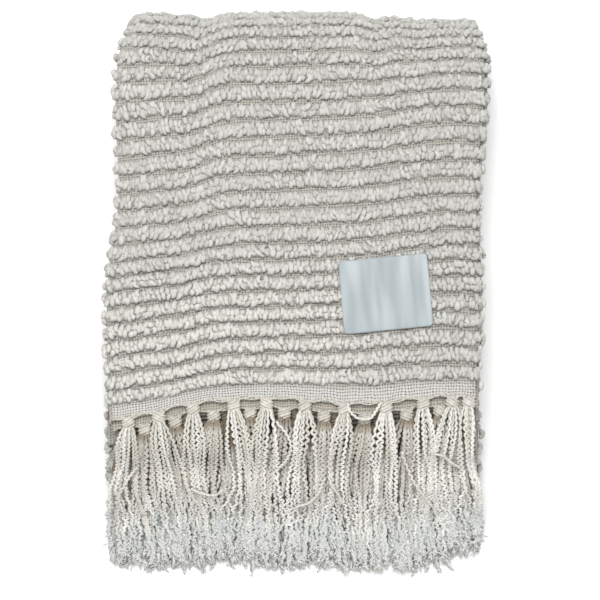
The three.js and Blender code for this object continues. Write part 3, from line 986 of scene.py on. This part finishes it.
print("a strand crinkles about every", CRINKLE["wave"], "mm")

# %% Tones of the strands, with painted shade and painted light
# Painted shade near the knots and, for the lower rows, under the rows above.
PAINTED_STRAND_SHADE = [
    {"most": 0.5, "over": 0.4, "rest": 0, "to": 0.65},
    {"most": 1.2, "over": 0.16, "rest": 0.72, "to": 0.74},
    {"most": 2.0, "over": 0.33, "rest": 0.55, "to": 0.78},
]
SHADE_OVER = 0.35
# Painted light: strands are made lighter along their length, the lower rows most, against the shade they lie
# in.
ROW_LOOKS = {
    "upper": {"swing": 5, "tone": 1, "painted_paling": 0.4, "painted_paling_from": 0.15, "painted_paling_over": 0.5, "opened": 1},
    "lower": {"swing": 15, "tone": 0.6, "painted_paling": 1, "painted_paling_from": 0.35, "painted_paling_over": 0.4, "opened": 0.7},
}
# Where the cut ends open they are painted darker and cooler: painted shade.
OPENED_PAINTED_SHADE = {"from": (0.6, 0.8), "over": 0.22, "share": (0.7, 1)}


def strand_tones(vary, rank, looks, f):
    """Tones of the strands, lighter along them as painted light, and depths: painted shade near the knots and
    under the upper rows, below zero where they open.
    """
    tone = vary(0, looks["tone"]) + looks["painted_paling"] * smooth((f - looks["painted_paling_from"]) / looks["painted_paling_over"])
    deep = PAINTED_STRAND_SHADE[min(rank, len(PAINTED_STRAND_SHADE) - 1)]
    painted_shade_at_knot = deep["most"] * (1 - smooth(f / deep["over"]))
    further = deep["rest"] * (1 - smooth((f - deep["to"]) / SHADE_OVER + 1))
    # The opened ends take the darker, cooler second colour: painted shade.
    opened = smooth((f - vary(*OPENED_PAINTED_SHADE["from"])) / OPENED_PAINTED_SHADE["over"]) * vary(*OPENED_PAINTED_SHADE["share"])
    return tone, np.maximum(painted_shade_at_knot, further) - opened * looks["opened"]


print("kinds of shade at the knots:", len(PAINTED_STRAND_SHADE))

# %% Strands of one tassel
STRANDS = [
    {"steps": 5, "radius": 1.3, "sides": 4, "fibres": 18, "inside": 0},
    {"steps": 5, "radius": 1.5, "sides": 4, "fibres": 14, "inside": 0},
    {"steps": 2, "radius": 2.3, "sides": 3, "fibres": 2, "inside": 8},
    {"steps": 1, "radius": 2.3, "sides": 3, "fibres": 2, "inside": 8},
    {"steps": 1, "radius": 2.3, "sides": 3, "fibres": 2, "inside": 8},
    {"steps": 1, "radius": 2.3, "sides": 3, "fibres": 2, "inside": 8},
    {"steps": 2, "radius": 2.2, "sides": 3, "fibres": 5, "inside": 0},
    {"steps": 3, "radius": 2.1, "sides": 3, "fibres": 6, "inside": 0},
]
KNOT_DROP = 4.4
BELOW_KNOT = 3
STAGGER = 0.12
UNEVEN_LENGTH = {"tassel": (-5, 3), "strand": (0.94, 1.04)}
HEAP = {"sides": (-0.5, 0.8), "high": 1.7, "uneven": (-0.4, 0.6), "fade": 1.2, "least": 0.3, "floor": 1.6}
FRINGE_HALF = {"knots": 152, "tips": 158, "from": 0.2, "over": 0.6, "soft": 7}


def held_in(across, f, inside):
    """Strands held softly within the width of the fringe."""
    spread = smooth((f - FRINGE_HALF["from"]) / FRINGE_HALF["over"])
    limit = FRINGE_HALF["knots"] + (FRINGE_HALF["tips"] - FRINGE_HALF["knots"]) * spread - inside
    over = np.maximum(np.abs(across) - limit, 0)
    return across - np.sign(across) * (over - FRINGE_HALF["soft"] * np.tanh(over / FRINGE_HALF["soft"]))


def tassel(rng, rank, row, x):
    """Centre lines, tones and depths of the strands of one knot."""
    kind = STRANDS[rank]
    looks = ROW_LOOKS["upper" if rank < UPPER_ENDS else "lower"]
    vary = varying(rng, row["strands"])
    full = FRINGE_LENGTH["longest"] - FRINGE_LENGTH["shorter"] * rank
    rings = int(full * FRINGE_LENGTH["spare"] / CRINKLE["wave"] * kind["steps"])
    f = np.linspace(0, 1, rings)[None]
    hem_y, hem_z = hem_line(row, x)
    path = fall(rank, hem_y - KNOT_DROP - BELOW_KNOT, hem_z)
    spots = np.linspace(-1, 1, row["strands"])[:, None] + vary(-STAGGER, STAGGER)
    leaning, short = tassel_fall(rank, x)
    levelled = full + FRINGE_LENGTH["levelled"] * rise(x, HEM) + rng.uniform(*UNEVEN_LENGTH["tassel"])
    s = f * ((levelled - short) * vary(*UNEVEN_LENGTH["strand"]))
    y, z = (np.interp(s, lengths_along(path), column) for column in path.T)
    across, bends = spread_strands(rng, vary, x, leaning, looks["swing"], spots, f, s)
    body = np.sqrt(np.clip(1 - spots**2, 0, 1)) * rng.choice(HEAP["sides"], spots.shape)
    heap = (HEAP["high"] * body + vary(*HEAP["uneven"])) * np.clip(HEAP["fade"] - f, HEAP["least"], 1)
    crinkle, turn = crinkle_strands(vary, kind["steps"], f, s)
    curl = CURL["wide"] * smooth((f - CURL["from"]) / CURL["over"])
    curl = curl * np.sin(s / CURL["step"] + CURL["by_spot"] * spots + CURL["by_bend"] * bends)
    across = held_in(across, f, kind["inside"]) + crinkle * np.cos(turn) + curl
    z = np.maximum(z + heap + CRINKLE["up"] * crinkle * np.sin(2 * turn), HEAP["floor"])
    return settle(across, y, z), *strand_tones(vary, rank, looks, f)


print("kinds of strands:", len(STRANDS))

# %% Strands of the eight ply ends
TAPER = {"swell": 0.25, "from": 0.7, "over": 0.2, "thin": 0.6, "end": 0.04}
END_SHARE = 4
rng = np.random.default_rng(SEEDS["strands"])
fringe_pieces = {}
fringe_ends = {}
for rank, row in enumerate(FRINGES):
    kind = STRANDS[rank]
    tassels = [tassel(rng, rank, row, x) for x in row["knots"]]
    lines, tones, depths = (np.concatenate(part) for part in zip(*tassels))
    f = np.linspace(0, 1, lines.shape[1])[None]
    swell = 1 + TAPER["swell"] * smooth((f - TAPER["from"]) / TAPER["over"])
    thinner = np.sqrt(1 - TAPER["thin"] * smooth((f - 1 + TAPER["end"]) / TAPER["end"]))
    radii = kind["radius"] * (swell * thinner)
    name = row["name"]
    fringe_pieces[name] = yarn_piece("strands_" + name, lines, radii, kind["sides"], tones, depths)
    fringe_ends[name] = lines[:, -lines.shape[1] // END_SHARE :]

# %% Stray yarns over the fringe
STRAYS = [
    {"x": [47, 51, 59, 68, 73, 77], "y": [-93, -101, -106, -105, -98, -91], "clear": 3.0},
    {"x": [-15, -5, -2, -6, -12], "y": [-108, -120, -132, -143, -150], "clear": 4.5},
    {"x": [125, 133, 142, 149], "y": [-137, -139, -146, -150], "clear": 4.5},
    {"x": [-92, -81, -70, -63], "y": [-170, -175, -176, -170], "clear": 5.0},
    {"x": [-140, -149, -154, -151], "y": [-150, -163, -180, -196], "clear": 5.0},
    {"x": [96, 103, 110, 119, 127], "y": [-135, -152, -166, -178, -188], "clear": 4.5},
    {"x": [28, 23, 14, 3], "y": [-160, -174, -184, -188], "clear": 5.0},
    {"x": [33, 37, 41, 44], "y": [-164, -170, -176, -184], "clear": 5.0},
]
# The strays' root value paints them a little darker: painted shade.
STRAY = {"rings": 56, "radius": 1.15, "sides": 5, "tone": 0.55, "root": 0.42}
RIPPLE = {"wide": 0.75, "turns": 74}
stray_lines = []
for stray in STRAYS:
    f = np.linspace(0, 1, STRAY["rings"])
    stations = np.linspace(0, 1, len(stray["x"]))
    x = curve_through(f, stations, stray["x"]) + RIPPLE["wide"] * np.sin(f * RIPPLE["turns"])
    y = curve_through(f, stations, stray["y"])
    path = fall(0, *hem_line(FRINGES[0], stray["x"][0]))
    z = np.interp(-y, -path[:, 0], path[:, 1]) + stray["clear"]
    stray_lines.append(settle(x, y, z))
stray_lines = np.array(stray_lines)
stray_yarns = yarn_piece("strays", stray_lines, STRAY["radius"], STRAY["sides"], STRAY["tone"], STRAY["root"])

# %% Cut ends opened into fibres
FIBRE = {
    "rings": 4,
    "sides": 3,
    "back": 0.5,
    "back_power": 1.5,
    "beside": (1.4, 0, 0.8),
    "splay": 0.7,
    "splay_ways": (1, 0.5, 0.3),
    "length": (2.5, 5.0),
    "wave": 0.7,
    "waves": 7,
    "rise": 0.8,
    "droop": 1.2,
    "floor": 0.9,
    "radius": (0.7, 1.1),
    "thin": 0.3,
    "tone": (0.7, 1),
    # Fibres are painted with the opened ends' darker, cooler colour: painted shade.
    "root": -0.4,
}
rng = np.random.default_rng(SEEDS["fibres"])
fray_pieces = {}
for rank, (name, ends) in enumerate(fringe_ends.items()):
    strand = np.repeat(np.arange(len(ends)), STRANDS[rank]["fibres"])
    count = len(strand)
    vary = varying(rng, count)
    place = (1 - FIBRE["back"] * rng.uniform(0, 1, count) ** FIBRE["back_power"]) * (ends.shape[1] - 1)
    beside = rng.uniform(-1, 1, (count, 3)) * FIBRE["beside"]
    starts = ends[strand, np.rint(place).astype(int)] + beside
    ahead = unit(ends[strand, -1] - ends[strand, 0])
    splay = rng.normal(0, FIBRE["splay"], (count, 3)) * FIBRE["splay_ways"]
    length = vary(*FIBRE["length"])
    f = np.linspace(0, 1, FIBRE["rings"])[None]
    lines = starts[:, None] + (ahead + splay)[:, None] * (length * f)[..., None]
    lines[..., 0] += FIBRE["wave"] * np.sin(FIBRE["waves"] * f + vary(*ANY_PHASE))
    lines[..., 2] = np.maximum(lines[..., 2] + FIBRE["rise"] - FIBRE["droop"] * f**2, FIBRE["floor"])
    radii = vary(*FIBRE["radius"]) * (1 - FIBRE["thin"] * f**3)
    tone = vary(*FIBRE["tone"])
    fray_pieces[name] = yarn_piece("fray_" + name, lines, radii, FIBRE["sides"], tone, FIBRE["root"])

# %% Knots: slanted wraps over a gathered bunch, with the warp ends running into it
WRAP = {
    "offsets": (-3.3, -1.1, 1.1, 3.3),
    "tilt": (0.25, 0.6),
    "left_share": 0.25,
    "rings": 9,
    "past": 0.15,
    "half": 5.4,
    "narrower": 0.13,
    "high": 5.0,
    "lower": 0.2,
    "sunk": 1.4,
    "radius": 1.4,
    "tone": 0.7,
}
GATHER = {
    "ends": 8,
    "rings": 5,
    "half": 5,
    "drawn_in": 2.5,
    "back": 0.6,
    "back_beside": 0.8,
    "length": 4,
    "lift": 0.1,
    "arch": 0.3,
    "radius": 0.9,
    "tone": 0.5,
}


def wraps_of(rng, x, hem_y, hem_z):
    """Centre lines of the wraps of one knot."""
    chances = [WRAP["left_share"], 1 - WRAP["left_share"]]
    tilt = rng.uniform(*WRAP["tilt"]) * rng.choice([-1, 1], p=chances)
    a = np.linspace(-WRAP["past"], np.pi + WRAP["past"], WRAP["rings"])
    wraps = []
    for offset in WRAP["offsets"]:
        reach = -(WRAP["half"] - WRAP["narrower"] * offset**2) * np.cos(a)
        wrap_x = x + reach * np.cos(tilt) - offset * np.sin(tilt)
        wrap_y = hem_y - KNOT_DROP + reach * np.sin(tilt) + offset * np.cos(tilt)
        wrap_z = hem_z - WRAP["sunk"] + (WRAP["high"] - WRAP["lower"] * offset**2) * np.sin(a)
        wraps.append(settle(wrap_x, wrap_y, wrap_z))
    return wraps


def gathers_of(x, hem_y, hem_z):
    """Centre lines of the warp ends that run from the hem into one knot."""
    f = np.linspace(0, 1, GATHER["rings"])
    gathers = []
    for spot in np.linspace(-1, 1, GATHER["ends"]):
        end_x = x + spot * (GATHER["half"] - GATHER["drawn_in"] * smooth(f))
        end_y = hem_y + GATHER["back"] + GATHER["back_beside"] * abs(spot) * (1 - f) - GATHER["length"] * f
        end_z = hem_z + GATHER["lift"] + GATHER["arch"] * np.sin(np.pi * f)
        gathers.append(settle(end_x, end_y, end_z))
    return gathers


print("yarns in each knot:", len(WRAP["offsets"]) + GATHER["ends"])

# %% Tie the knots and join each fringe
# The knots' root values paint them darker: painted shade, strongest on the hidden knots.
KNOT_LOOKS = {
    "shown": {"knots_sides": 6, "gathers_sides": 4, "root": 0.62},
    "hidden": {"knots_sides": 3, "gathers_sides": 3, "root": 1.3},
}
rng = np.random.default_rng(SEEDS["knots"])
for rank, row in enumerate(FRINGES):
    looks = KNOT_LOOKS["shown" if rank < UPPER_ENDS else "hidden"]
    name = row["name"]
    wraps = []
    gathers = []
    for x in row["knots"]:
        wraps += wraps_of(rng, x, *hem_line(row, x))
        gathers += gathers_of(x, *hem_line(row, x))
    pieces = [fringe_pieces[name]]
    for kind, lines, table in (("knots_", wraps, WRAP), ("gathers_", gathers, GATHER)):
        tone = rng.uniform(0, table["tone"], (len(lines), 1))
        sides = looks[kind + "sides"]
        pieces.append(yarn_piece(kind + name, np.array(lines), table["radius"], sides, tone, looks["root"]))
    if rank == 0:
        pieces.append(stray_yarns)
    joined(pieces + [fray_pieces[name]])

# %% [markdown]
# ## The label
# A bare satin label lies on the ribs. It is a thin piece of cloth, so it starts as a grid, takes soft
# waves from the ribs under it, and gets its thickness from Solidify. A flat plate would look stiff.

# %% Satin label
LABEL_GRID = {"columns": 44, "rows": 36}
LABEL_WAVES = [
    {"high": 1.0, "step": 5.2, "slant": 0.02, "from": 0},
    {"high": 0.5, "step": 3.1, "slant": -0.03, "from": 2},
]
LABEL_RIPPLE = {"high": 0.15, "step": 6}
CORNER = {"from": 0.93, "in": 1.1}


def on_label(a, b):
    """A place on the label, its width and height counted from its middle."""
    x = LABEL["x"] + a * np.cos(LABEL["turn"]) - b * np.sin(LABEL["turn"])
    y = LABEL["y"] + a * np.sin(LABEL["turn"]) + b * np.cos(LABEL["turn"])
    wave = sum(row["high"] * np.sin(a / row["step"] + row["from"] + row["slant"] * b) for row in LABEL_WAVES)
    wave = wave + LABEL_RIPPLE["high"] * np.sin(b / LABEL_RIPPLE["step"])
    return settle(x, y, level(4) - AIR / 2 + LABEL["lift"] + wave)


label, flat = grid_sheet("satin_label", LABEL_GRID["columns"], LABEL_GRID["rows"])
at_corner = smooth((np.abs(flat) * 2 - CORNER["from"]) / (1 - CORNER["from"])).prod(axis=1)
flat = flat * [LABEL["width"], LABEL["height"]] - np.sign(flat) * CORNER["in"] * at_corner[:, None]
finish_sheet(label, on_label(*flat.T), LABEL["thick"], "satin")

# %% [markdown]
# ## Finishes
# Shader maths is easier to read as Python, so a small class wraps a socket and its operators add Math
# nodes. The yarn is undyed ivory with a tone that differs at random. The brownish grey in the depth of the
# weave and at the roots is painted shade, the lighter ivory where the light falls is painted light, and the
# darker, cooler opened ends are painted shade. Image textures would repeat, and node patterns follow each
# yarn.

# %% Shader maths as Python
class Value:
    """One socket of a finish. Arithmetic on it adds Math nodes."""

    def __init__(self, finish, socket):
        self.finish = finish
        self.socket = socket

    def __add__(self, other):
        return self.finish.maths("ADD", self, other)

    def __radd__(self, other):
        return self.finish.maths("ADD", other, self)

    def __sub__(self, other):
        return self.finish.maths("SUBTRACT", self, other)

    def __rsub__(self, other):
        return self.finish.maths("SUBTRACT", other, self)

    def __mul__(self, other):
        return self.finish.maths("MULTIPLY", self, other)

    def __rmul__(self, other):
        return self.finish.maths("MULTIPLY", other, self)


class Finish:
    """A material whose nodes are made one by one."""

    def __init__(self, name):
        self.material = bpy.data.materials.new(name)
        self.material.use_nodes = True
        self.tree = self.material.node_tree
        self.shader = self.tree.nodes["Principled BSDF"]

    def node(self, kind, settings=None, sockets=None, output=0):
        made = self.tree.nodes.new(kind)
        for key, value in (settings or {}).items():
            setattr(made, key, value)
        for key, value in (sockets or {}).items():
            self.plug(made.inputs[key], value)
        return Value(self, made.outputs[output])

    def plug(self, socket, value):
        if isinstance(value, Value):
            self.tree.links.new(value.socket, socket)
        else:
            socket.default_value = value

    def shade(self, **sockets):
        for key, value in sockets.items():
            self.plug(self.shader.inputs[key.replace("_", " ")], value)

    def maths(self, operation, first, second=0.0):
        return self.node("ShaderNodeMath", {"operation": operation}, {0: first, 1: second})

    def uv(self, name):
        return self.node("ShaderNodeUVMap", {"uv_map": name}, {}, "UV")

    def part(self, vector, axis):
        return self.node("ShaderNodeSeparateXYZ", {}, {0: vector}, axis)

    def noise(self, vector, scale, detail, dimensions="2D"):
        sockets = {"Vector": vector, "Scale": scale, "Detail": detail}
        return self.node("ShaderNodeTexNoise", {"noise_dimensions": dimensions}, sockets)

    def blend(self, factor, first, second):
        return self.node("ShaderNodeMix", {"data_type": "RGBA"}, {0: factor, 6: first, 7: second}, 2)

    def step(self, value, low, high):
        settings = {"interpolation_type": "SMOOTHSTEP"}
        return self.node("ShaderNodeMapRange", settings, {0: value, 1: low, 2: high})

    def bump(self, height, strength, distance):
        return self.node("ShaderNodeBump", {}, {"Height": height, "Strength": strength, "Distance": distance})


def colour(red, green, blue):
    return (red, green, blue, 1.0)


print("materials before the finishes:", len(bpy.data.materials))

# %% Woven ground
# Low points of the threads beyond the hem, painted darker: painted shade.
GROUND_DEEP_PAINTED_SHADE = colour(0.33, 0.305, 0.262)
HEM_IVORY = colour(0.53, 0.519, 0.493)
# Low points of the threads at the hem, painted darker: painted shade.
HEM_LOW_PAINTED_SHADE = colour(0.385, 0.372, 0.342)
# Hems of the inner plies, painted darker and browner: painted shade under the top ply.
INNER_HEM_PAINTED_SHADE = colour(0.41, 0.375, 0.31)
# Threads beyond the hem, painted darker than at the hem: painted shade of the valleys between the ribs.
GROUND = colour(0.385, 0.374, 0.34)
# Near black: painted shade, seen through the weave's holes and in the yarns' deepest shade.
PAINTED_SHADE_DARK = colour(0.08, 0.068, 0.052)
WOBBLE = {"scale": 0.22, "detail": 2.0, "across": 1.2, "along": 0.8}
GAP = {"from": 0.4, "to": 0.85}
LEAST_OPEN = 0.3
HEM_THREADS = {"from": 4.5, "to": 7.0}
FIRST_PLY_THREADS = {"from": 127.0, "to": 129.0}
THREAD_TOP = {"from": -0.4, "to": 0.9}


def woven_ground():
    """Open plain weave: warp and weft pass over each other by turns; the holes, the low points, the inner
    plies' hems and the ground beyond the hem are painted darker as shade.
    """
    finish = Finish("woven_ground")
    uv = finish.uv("threads")
    wobble = finish.noise(uv, WOBBLE["scale"], WOBBLE["detail"])
    across = finish.part(uv, "X") + wobble * WOBBLE["across"]
    along = finish.part(uv, "Y") + wobble * WOBBLE["along"]
    from_warp = finish.maths("PINGPONG", across, 0.5) * 2
    from_weft = finish.maths("PINGPONG", along, 0.5) * 2
    cell_sockets = {0: finish.maths("FLOOR", across), 1: finish.maths("FLOOR", along)}
    cell = finish.node("ShaderNodeCombineXYZ", {}, cell_sockets)
    chance = finish.node("ShaderNodeTexWhiteNoise", {"noise_dimensions": "2D"}, {"Vector": cell}, "Value")
    gaps = finish.step(from_warp, GAP["from"], GAP["to"]) * finish.step(from_weft, GAP["from"], GAP["to"])
    hole = gaps * (LEAST_OPEN + (1 - LEAST_OPEN) * chance)
    crossing = finish.maths("ROUND", across) + finish.maths("ROUND", along)
    over = finish.maths("PINGPONG", crossing, 1.0)
    warp_round = 1 - from_warp * from_warp
    weft_round = 1 - from_weft * from_weft
    height = over * warp_round + (1 - over) * weft_round - hole
    # Beyond the hem the threads are painted darker, as shade in the valleys between the ribs.
    valley_painted_shade = finish.step(along, HEM_THREADS["from"], HEM_THREADS["to"])
    # The hems of the plies under the first are painted darker, as the shade they lie in.
    inner_ply_painted_shade = finish.step(across, FIRST_PLY_THREADS["from"], FIRST_PLY_THREADS["to"])
    high_colour = finish.blend(valley_painted_shade, finish.blend(inner_ply_painted_shade, HEM_IVORY, INNER_HEM_PAINTED_SHADE), GROUND)
    # Where a thread dips under another it is painted darker: painted shade in the weave's low points.
    low_thread_painted_shade = finish.blend(valley_painted_shade, HEM_LOW_PAINTED_SHADE, GROUND_DEEP_PAINTED_SHADE)
    thread = finish.blend(finish.step(height, THREAD_TOP["from"], THREAD_TOP["to"]), low_thread_painted_shade, high_colour)
    # The weave's holes are painted near black, as the shade seen through them.
    finish.shade(
        Base_Color=finish.blend(hole, thread, PAINTED_SHADE_DARK),
        Roughness=0.95,
        Normal=finish.bump(height, strength=0.7, distance=0.0009),
        Sheen_Weight=0.15,
    )
    print(finish.material.name + ":", len(finish.tree.nodes), "nodes")
    return finish.material


ground_finish = woven_ground()

# %% Boucle and strand yarn
YARNS = {
    "boucle_yarn": {
        "light": colour(0.575, 0.572, 0.545),
        "deep": colour(0.42, 0.413, 0.383),
        "painted_shade": PAINTED_SHADE_DARK,
        # Lighter, yellower boucle colour: painted light on the ribs towards the hem and the left.
        "painted_light_and_shade": colour(0.67, 0.645, 0.595),
        "twist": 0.06,
        "plies": 3,
        # How far the grooves of the twist are painted darker: painted shade.
        "lines": 0.4,
    },
    "fringe_yarn": {
        "light": colour(0.81, 0.802, 0.762),
        "deep": colour(0.57, 0.547, 0.486),
        "painted_shade": colour(0.2, 0.155, 0.1),
        # Darker, cooler colour of the fringe's opened ends: painted shade that evens out the light on the
        # flat tips.
        "painted_light_and_shade": colour(0.538, 0.563, 0.556),
        "twist": 0.2,
        "plies": 2,
        "lines": 0.3,
    },
}
FUZZ = {"scale": 900.0, "detail": 3.0}
TWIST_BUMP = 0.6
PAINTED_SHADE_RANGE = {"from": 0.3, "to": 1.4}
FULL_TURN = 6.2832


def yarn_finish(name, yarn):
    """Yarn with a tone for each length, painted dark as shade where its root value is high, given a second
    colour where that value is below zero, and painted darker in the grooves of its twist.
    """
    finish = Finish(name)
    tone = finish.node("ShaderNodeAttribute", {"attribute_name": "tone"}, {}, "Fac")
    root = finish.node("ShaderNodeAttribute", {"attribute_name": "root"}, {}, "Fac")
    uv = finish.uv("yarn")
    turn = (finish.part(uv, "X") * yarn["twist"] + finish.part(uv, "Y") * yarn["plies"]) * FULL_TURN
    lines = finish.maths("SINE", turn) * 0.5 + 0.5
    place = finish.node("ShaderNodeTexCoord", {}, {}, "Object")
    fuzz = finish.noise(place, FUZZ["scale"], FUZZ["detail"], "3D")
    body = finish.blend(tone, yarn["deep"], yarn["light"])
    # The grooves between the twisted plies are painted darker, as painted shade along with the bump.
    body = finish.blend(lines * yarn["lines"], body, yarn["deep"])
    # Below zero the root value paints in the second colour: painted light on the boucle, painted shade at the
    # fringe's ends.
    body = finish.blend(finish.step(0 - root, low=0.0, high=1.0), body, yarn["painted_light_and_shade"])
    # Where the root value is high the yarn is painted dark: painted shade at rib margins, cores, knots and
    # roots.
    finish.shade(
        Base_Color=finish.blend(finish.step(root, PAINTED_SHADE_RANGE["from"], PAINTED_SHADE_RANGE["to"]), body, yarn["painted_shade"]),
        Roughness=0.95,
        Normal=finish.bump(lines * TWIST_BUMP + fuzz, strength=0.7, distance=0.0008),
        Sheen_Weight=0.2,
    )
    print(name + ":", len(finish.tree.nodes), "nodes")
    return finish.material


boucle_finish, strand_finish = (yarn_finish(name, yarn) for name, yarn in YARNS.items())

# %% Satin
SATIN_DEEP = colour(0.272, 0.312, 0.322)
SATIN_PALE = colour(0.388, 0.428, 0.442)
SATIN_MAPS = {"threads": (40.0, 420.0, 1.0), "painted_streaks": (7.0, 0.8, 1.0)}
PAINTED_STREAK = {"from": 0.3, "to": 0.7}
PAINTED_RIM = {"from": 0.93, "to": 0.97}
# How much the painted highlights and the thread texture lighten the satin.
THREAD_TONE_AND_PAINTED_SHINE = {"painted_streaks": 0.7, "threads": 0.2, "rim": 0.35}
SATIN_ROUGH = {"least": 0.42, "threads": 0.16}


def satin():
    """Smooth satin with fine threads; its soft bright bands and lighter right edge are painted highlights."""
    finish = Finish("label_satin")
    uv = finish.uv("satin")
    maps = {
        key: finish.node("ShaderNodeMapping", {}, {"Vector": uv, "Scale": scale})
        for key, scale in SATIN_MAPS.items()
    }
    threads = finish.noise(maps["threads"], scale=1.0, detail=2.0)
    # Soft bright bands of painted highlight across the satin.
    painted_streaks = finish.noise(maps["painted_streaks"], scale=1.0, detail=1.0)
    painted_streaks = finish.step(painted_streaks, PAINTED_STREAK["from"], PAINTED_STREAK["to"])
    # A painted highlight along the folded right edge.
    rim = finish.step(finish.part(uv, "X"), PAINTED_RIM["from"], PAINTED_RIM["to"])
    thread_tone_and_painted_shine = painted_streaks * THREAD_TONE_AND_PAINTED_SHINE["painted_streaks"] + threads * THREAD_TONE_AND_PAINTED_SHINE["threads"] + rim * THREAD_TONE_AND_PAINTED_SHINE["rim"]
    finish.shade(
        Base_Color=finish.blend(thread_tone_and_painted_shine, SATIN_DEEP, SATIN_PALE),
        Roughness=SATIN_ROUGH["least"] + threads * SATIN_ROUGH["threads"],
        Normal=finish.bump(threads, strength=0.12, distance=0.0002),
        Sheen_Weight=0.1,
    )
    print(finish.material.name + ":", len(finish.tree.nodes), "nodes")
    return finish.material


satin_finish = satin()

# %% [markdown]
# ## Dressing the solids
# Each piece gets its finish, and rides on the one body of the part.

# %% Finishes and bodies of the pieces
fringes = list(fringe_pieces.values())
DRESSED = (
    ([throw_weave], ground_finish, "cloth"),
    (boucle_pieces, boucle_finish, "cloth"),
    ([hem_cords] + fringes, strand_finish, "strand"),
    ([label], satin_finish, "satin"),
)
for pieces, material, slot in DRESSED:
    for piece in pieces:
        piece.data.materials.clear()
        piece.data.materials.append(material)
        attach(piece, "root")
    print(material.name, "on", len(pieces), "pieces")

# %% Each piece stands for its solid
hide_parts("throw_cloth")
for name, piece in fringe_pieces.items():
    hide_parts("fringe_" + name)
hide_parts("label")
boucle_pieces + fringes + [hem_cords, label]
print("solids replaced:", len(fringe_pieces) + 2)

# %% [markdown]
# ## Floor, light and camera
# The throw lies on a pale floor in even light from all round. A key light above and a little behind
# shades the ribs, and a weak fill in front opens the fringe. The camera looks straight down from well
# above, as for a flat lay. A sun lamp would draw harder shadows than soft cloth shows.

# %% Floor
FLOOR_SIZE = 8
fresh()
bpy.ops.mesh.primitive_plane_add(size=FLOOR_SIZE)
floor = bpy.context.object
floor.name = "floor"
pale = Finish("pale_floor")
pale.shade(Base_Color=colour(0.92, 0.92, 0.92), Roughness=0.9)
floor.data.materials.append(pale.material)
print("floor:", FLOOR_SIZE, "m wide")

# %% Light
WORLD_STRENGTH = 0.5
LIGHTS = [
    {"name": "key", "x": -0.08, "y": 0.6, "z": 1.6, "size": 0.7, "energy": 27, "tip": -0.36},
    {"name": "fill", "x": 0, "y": -1.0, "z": 1.1, "size": 1.0, "energy": 5.5, "tip": 0.76},
]
world = bpy.data.worlds.new("soft_room")
world.use_nodes = True
background = world.node_tree.nodes["Background"]
background.inputs["Color"].default_value = colour(1, 1, 1)
background.inputs["Strength"].default_value = WORLD_STRENGTH
bpy.context.scene.world = world
for row in LIGHTS:
    fresh()
    place = (row["x"], row["y"], row["z"])
    bpy.ops.object.light_add(type="AREA", location=place, rotation=(row["tip"], 0, 0))
    light = bpy.context.object
    light.name = row["name"]
    light.data.size = row["size"]
    light.data.energy = row["energy"]
bpy.context.scene.view_settings.view_transform = "Standard"
print("lights:", [row["name"] for row in LIGHTS])

# %% Camera
CAMERA = {"x": 0.0016, "y": -0.0015, "above": 1.3, "top_face": 0.088, "view": 516 * MM, "sensor": 36}
fresh()
place = (CAMERA["x"], CAMERA["y"], CAMERA["above"] + CAMERA["top_face"])
bpy.ops.object.camera_add(location=place, rotation=(0, 0, 0))
camera = bpy.context.object
camera.data.sensor_width = CAMERA["sensor"]
camera.data.lens = CAMERA["sensor"] * CAMERA["above"] / CAMERA["view"]
bpy.context.scene.camera = camera
print("lens:", round(camera.data.lens, 1), "mm")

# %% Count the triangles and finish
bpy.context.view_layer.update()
all_pieces = [piece for pieces, _, _ in DRESSED for piece in pieces]
print("pieces:", len(all_pieces), "triangles in all:", sum(triangles(piece) for piece in all_pieces))
